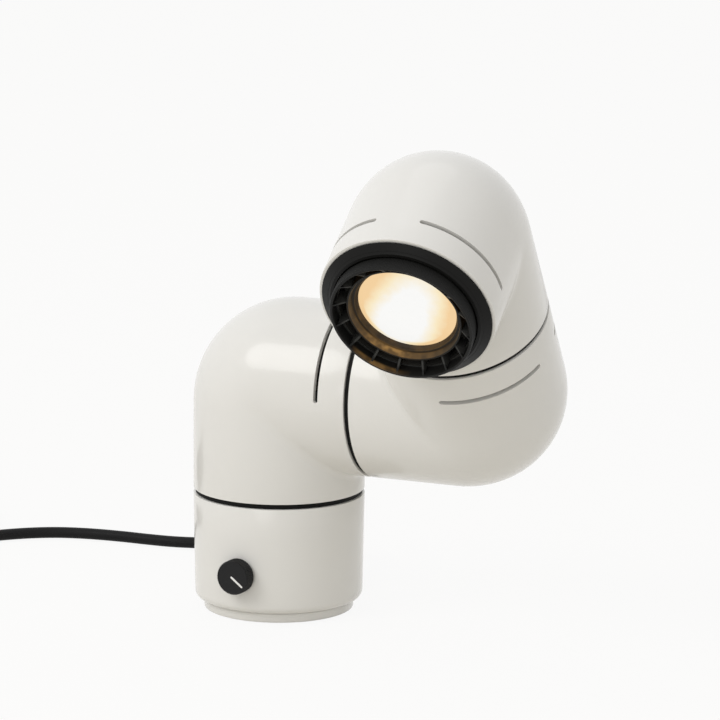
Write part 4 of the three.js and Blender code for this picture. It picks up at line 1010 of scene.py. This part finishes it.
class LAMP_OT_elbows(bpy.types.Operator):
    """Models the three slotted elbow shells"""

    bl_idname = "lamp.elbows"
    bl_label = "Elbows"

    SIDES = 144
    BEND_STEPS = 16
    FILLET_SIDE = 33

    def execute(self, context):
        found = places()
        first = self.shell()
        shells = [copied(first), copied(first), first]
        for shell, body in zip(shells, ("lower_elbow", "middle_elbow", "head")):
            part = body.split("_")[0]
            completed(placed(shell, found[f"{part}_foot"]), f"{part}_skin", body, "shell", [f"{body}_shell"], 40)
        return {"FINISHED"}

    def seam(self):
        """Distance from the foot's axis to the column where the bend's arc gives way to the crotch."""
        return sizes().tube_radius * math.cos(2 * math.pi * self.FILLET_SIDE / self.SIDES)

    def arc(self, keeps, radius, height=0.0, turn=0.0):
        """Part of a circle of columns, as an edge chain with all of it selected."""
        arc = placed(circle(self.SIDES, radius, height, rotation=(0, 0, math.radians(turn - 90))))
        edit(arc)
        pick(arc, lambda co: not keeps(co))
        bpy.ops.mesh.delete(type="VERT")
        pick_all()
        return arc

    def outer_side(self, co):
        return co.x < self.seam() + 1e-6

    def inner_side(self, co):
        return co.x > self.seam() - 1e-6

    def outer_leg(self):
        """Outer side of a leg, from its rim up to the bend."""
        s = sizes()
        leg = self.arc(self.outer_side, s.tube_radius)
        push(s.elbow_leg - s.bend_radius)
        return leg

    def slotted_leg(self):
        """Outer side of the mouth's leg, with short edge rings on both sides of where its slots come."""
        s = sizes()
        leg = self.outer_leg()
        edit(leg)
        for way in (-1, 1):
            pick(leg, lambda co: abs(math.degrees(math.atan2(co.y, -co.x))) < 95, "faces")
            bpy.ops.mesh.bisect(plane_co=(0, 0, s.slot_inset + way * s.slot_width), plane_no=(0, 0, 1),
                                threshold=1e-6)
        return leg

    def inner_leg(self):
        """Inner side of a leg, from its rim up to the mitre."""
        s = sizes()
        leg = self.arc(self.inner_side, s.tube_radius)
        push(s.elbow_leg - self.seam())
        pick_all()
        bpy.ops.mesh.bisect(plane_co=(s.elbow_leg, 0, 0), plane_no=(1, 0, 1), clear_outer=True, threshold=1e-6)
        return leg

    def crotch(self):
        """Inner side of the elbow: two legs that meet in a mitre, which is rounded to a fillet."""
        s = sizes()
        leg = self.inner_leg()
        crotch = joined([leg, self.at_mouth(copied(leg))])
        edit(crotch)
        merge_all()
        pick(crotch, lambda *ends: all(abs(co.x + co.z - s.elbow_leg) < 2e-6 for co in ends), "edges")
        bpy.ops.mesh.bevel(offset_type="ABSOLUTE", offset=s.bend_radius - self.seam(),
                           segments=self.BEND_STEPS, profile=0.5, affect="EDGES", clamp_overlap=False)
        return crotch

    def bend(self):
        """Outer side of the bend: the columns of the tube swung about the bend's axis."""
        s = sizes()
        height = s.elbow_leg - s.bend_radius
        bend = self.arc(self.outer_side, s.tube_radius, height)
        bpy.ops.mesh.spin(steps=self.BEND_STEPS, angle=math.radians(-90), center=(s.bend_radius, 0, height),
                          axis=(0, 1, 0))
        return bend

    def at_mouth(self, piece):
        """Turns a piece made at the elbow's foot so that it is at its mouth."""
        leg = sizes().elbow_leg
        return placed(piece, Matrix(((0, 0, -1, leg), (0, -1, 0, 0), (-1, 0, 0, leg), (0, 0, 0, 1))))

    def slot_cutter(self, side):
        """Curved bar with round ends that cuts one vent slot, its columns half a degree off those of the shell."""
        s = sizes()

        def beside_slot(co):
            return s.slot_start < math.atan2(side * co.y, -co.x) < s.slot_end

        inner = s.tube_radius - 2 * s.wall
        bar = self.arc(beside_slot, inner, s.slot_inset - s.slot_width / 2, side * 0.5)
        push(s.slot_width)
        along = [v.co.x for v in bmesh.from_edit_mesh(bar.data).verts]
        first, last = min(along), max(along)
        pick(bar, lambda co: co.x < first + 1e-6 or co.x > last - 1e-6)
        bpy.ops.mesh.bevel(offset=s.slot_width * 0.49, segments=5, affect="VERTICES")
        pick_all()
        push(0)
        widen((s.tube_radius + s.wall) / inner)
        merge_all()
        return self.at_mouth(bar)

    def shell(self):
        """One elbow at the origin: its surface closed to a wall, its rims rounded and its slots cut."""
        s = sizes()
        shell = joined([self.crotch(), self.outer_leg(), self.at_mouth(self.slotted_leg()), self.bend()])
        edit(shell)
        merge_all()
        modify(shell, "SOLIDIFY", thickness=s.wall, offset=-1.0)
        edit(shell)

        def on_rim(a, b):
            at_foot = max(a.z, b.z) < 1e-6 and abs(a.xy.length - b.xy.length) < 1e-5
            corner = Vector((0, 0, s.elbow_leg))
            at_mouth = min(a.x, b.x) > s.elbow_leg - 1e-6 and abs((a - corner).length - (b - corner).length) < 1e-5
            return at_foot or at_mouth

        pick(shell, on_rim, "edges")
        bpy.ops.mesh.bevel(offset=s.rim_round, segments=3, affect="EDGES")
        for side in (-1, 1):
            cut_away(shell, self.slot_cutter(side))
        bore, deck_radius, deck_low, deck_high = 5.5, s.tube_radius / MM - 2.7, 4.0, 7.2
        deck = turned([(bore, deck_low), (deck_radius, deck_low), (deck_radius, deck_high), (bore, deck_high)], 96)
        return joined([shell, deck])


class LAMP_OT_dimmer_knob(bpy.types.Operator):
    """Models the ridged dimmer knob and its white pointer"""

    bl_idname = "lamp.dimmer_knob"
    bl_label = "Dimmer Knob"

    BACK, FACE, RADIUS = 40.3, 46.6, 8.1
    POINTER_TURN = 127
    KNOB = [(0, 44.6), (6.6, 44.6), (6.6, BACK), (RADIUS - 0.15, BACK), (RADIUS, BACK + 0.2), (RADIUS, FACE - 0.55),
            (RADIUS - 0.55, FACE), (RADIUS - 0.9, FACE), (RADIUS - 1.05, FACE - 0.12), (0, FACE - 0.12)]

    def execute(self, context):
        front = facing(1, 0.0232)
        knob = turned(self.KNOB, 2 * sizes().knob_teeth)
        knurled(knob, self.RADIUS, 0.36, self.BACK + 0.1, self.FACE - 0.5)
        completed(placed(knob, front), "knob_moulding", "dimmer_knob", "knob", ["dimmer_knob"], 25)
        on_face = front @ raised((self.FACE - 0.5) * MM) @ about("Z", 90 - self.POINTER_TURN)
        pointer = placed(self.pointer(), on_face)
        completed(pointer, "pointer_bar", "dimmer_knob", "pointer", ["knob_pointer"])
        return {"FINISHED"}

    def pointer(self):
        """Bar with round ends, from the knob's middle out along X."""
        pointer = circle(32, 0.475 * MM, fill_type="NGON")
        pick(pointer, lambda co: co.x > 1e-7)
        shift(x=6.125)
        pick(pointer, lambda co: co.x < 1e-7)
        shift(x=-0.425)
        pick_all()
        push(0.5 * MM)
        merge_all()
        rounded(pointer, 0.08, 2, 50)
        return pointer


class LAMP_OT_bezel(bpy.types.Operator):
    """Turns the black conical bezel in the head's mouth"""

    bl_idname = "lamp.bezel"
    bl_label = "Bezel"

    BEZEL = [(33.0, -7), (37.1, -7), (37.1, 0.3), (38.5, 0.3), (38.65, 0.45), (38.65, 0.75), (38.5, 0.9),
             (35.6, 2.36), (35.5, 2.46), (35.38, 2.46), (34.3, 3.1), (34.2, 3.22), (34.08, 3.22), (33.2, 3.4),
             (32.9, 3.4)]

    def execute(self, context):
        bezel = placed(turned(self.BEZEL, 160), places()["head_mouth"])
        completed(bezel, "head_bezel", "head", "black", ["head_flange"], 30)
        return {"FINISHED"}


class LAMP_OT_collar(bpy.types.Operator):
    """Models the knurled bulb collar with its ribs and stepped inner ring"""

    bl_idname = "lamp.collar"
    bl_label = "Collar"

    RADIUS, FRONT = 32.5, 10.3
    RIBS, FIRST_RIB = 16, 6.7
    GRIP = [(30.4, -8.8), (32.1, -8.8), (32.1, 3.8), (RADIUS - 0.1, 3.9), (RADIUS, 4.1), (RADIUS, 9.7),
            (RADIUS - 0.25, 10.15), (RADIUS - 0.5, FRONT), (31.3, FRONT), (31.1, FRONT - 0.15), (31.1, 4.2),
            (30.9, 4.0), (30.4, 4.0)]
    RING = [(22.4, -0.4), (25.5, -0.4), (25.5, -2.0), (28.6, -2.0), (28.6, -0.5), (26.2, -0.5), (26.2, 5.2),
            (26.05, 5.35), (25.5, 5.35), (25.35, 5.25), (24.5, 2.3), (23.5, 2.2), (23.4, 2.1), (23.4, 0.95),
            (22.5, 0.1), (22.4, 0.0)]

    def execute(self, context):
        grip = turned(self.GRIP, 2 * sizes().collar_teeth)
        knurled(grip, self.RADIUS, 0.22, 4.0, 9.8)
        ring = turned(self.RING, 160)
        lugs = around(self.lug(), [0, 120, 240])
        ribs = around(self.rib(), [self.FIRST_RIB + 360 / self.RIBS * index for index in range(self.RIBS)])
        collar = placed(joined([grip, ring, *lugs, *ribs]), places()["head_mouth"])
        completed(collar, "knurled_collar", "lamp_collar", "black", ["lamp_collar"], 30, finish="collar")
        return {"FINISHED"}

    def rib(self):
        """A thin wall from the inner ring out to the grip, higher at its outer end."""
        middle, half_height = 28.6, 2.0
        rib = block((middle, 0, 0), (5.4, 1.0, 2 * half_height))
        edit(rib)
        for is_outer, top in ((True, 9.85), (False, 5.3)):
            pick(rib, lambda co: co.z > 0 and (co.x > middle * MM) == is_outer)
            shift(z=top - half_height)
        rounded(rib, 0.18, 2, 50)
        return rib

    def lug(self):
        """A bayonet lug at the collar's inner end."""
        lug = block((32.6, 0, -8.05), (3.0, 12.5, 1.5))
        rounded(lug, 0.3, 2, 50)
        return lug


class LAMP_OT_bulb(bpy.types.Operator):
    """Turns the bulb's lit glass face"""

    bl_idname = "lamp.bulb"
    bl_label = "Bulb"

    DOME_STEPS = 14

    def execute(self, context):
        shares = [step / self.DOME_STEPS for step in range(self.DOME_STEPS + 1)]
        dome = [(21.9 * share, -0.7 + 1.1 * (1 - share ** 2.2)) for share in shares]
        glass = placed(turned([*dome, (24.1, -0.7), (24.1, -2.4), (0, -2.4)], 96), places()["head_mouth"])
        completed(glass, "lit_glass", "head", "glass", ["bulb_glass"], 50)
        return {"FINISHED"}


class LAMP_OT_inner_finishes(bpy.types.Operator):
    """Gives each carried-over node the finish of its material slot"""

    bl_idname = "lamp.inner_finishes"
    bl_label = "Inner Finishes"

    def execute(self, context):
        slot_of = {part["node"]: part["material_slot"] for part in frame["record"]["subparts"]}
        for name, node in frame["nodes"].items():
            if node.hide_render:
                continue
            for slot in node.material_slots:
                slot.material = finish_for(slot_of[name])
        return {"FINISHED"}


class LAMP_PT_panel(bpy.types.Panel):
    """Sizes, colours and steps of the lamp"""

    bl_idname = "LAMP_PT_panel"
    bl_label = "Table Lamp"
    bl_space_type = "VIEW_3D"
    bl_region_type = "UI"
    bl_category = "Lamp"

    def draw(self, context):
        column = self.layout.column()
        for group in (context.scene.lamp_sizes, context.scene.lamp_colours):
            for key in group.__annotations__:
                column.prop(group, key)
        for step in STEPS:
            column.operator(step.bl_idname)


STEPS = (LAMP_OT_stage, LAMP_OT_mains_cord, LAMP_OT_base, LAMP_OT_joint_discs, LAMP_OT_elbows,
         LAMP_OT_dimmer_knob, LAMP_OT_bezel, LAMP_OT_collar, LAMP_OT_bulb, LAMP_OT_inner_finishes)
CLASSES = (LampSizes, LampColours, *STEPS, LAMP_PT_panel)


def register():
    for cls in CLASSES:
        bpy.utils.register_class(cls)
    bpy.types.Scene.lamp_sizes = PointerProperty(type=LampSizes)
    bpy.types.Scene.lamp_colours = PointerProperty(type=LampColours)


def unregister():
    del bpy.types.Scene.lamp_colours
    del bpy.types.Scene.lamp_sizes
    for cls in reversed(CLASSES):
        bpy.utils.unregister_class(cls)


def main():
    register()
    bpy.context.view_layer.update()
    for step in STEPS:
        group, name = step.bl_idname.split(".")
        getattr(getattr(bpy.ops, group), name)()


if __name__ == "__main__":
    main()
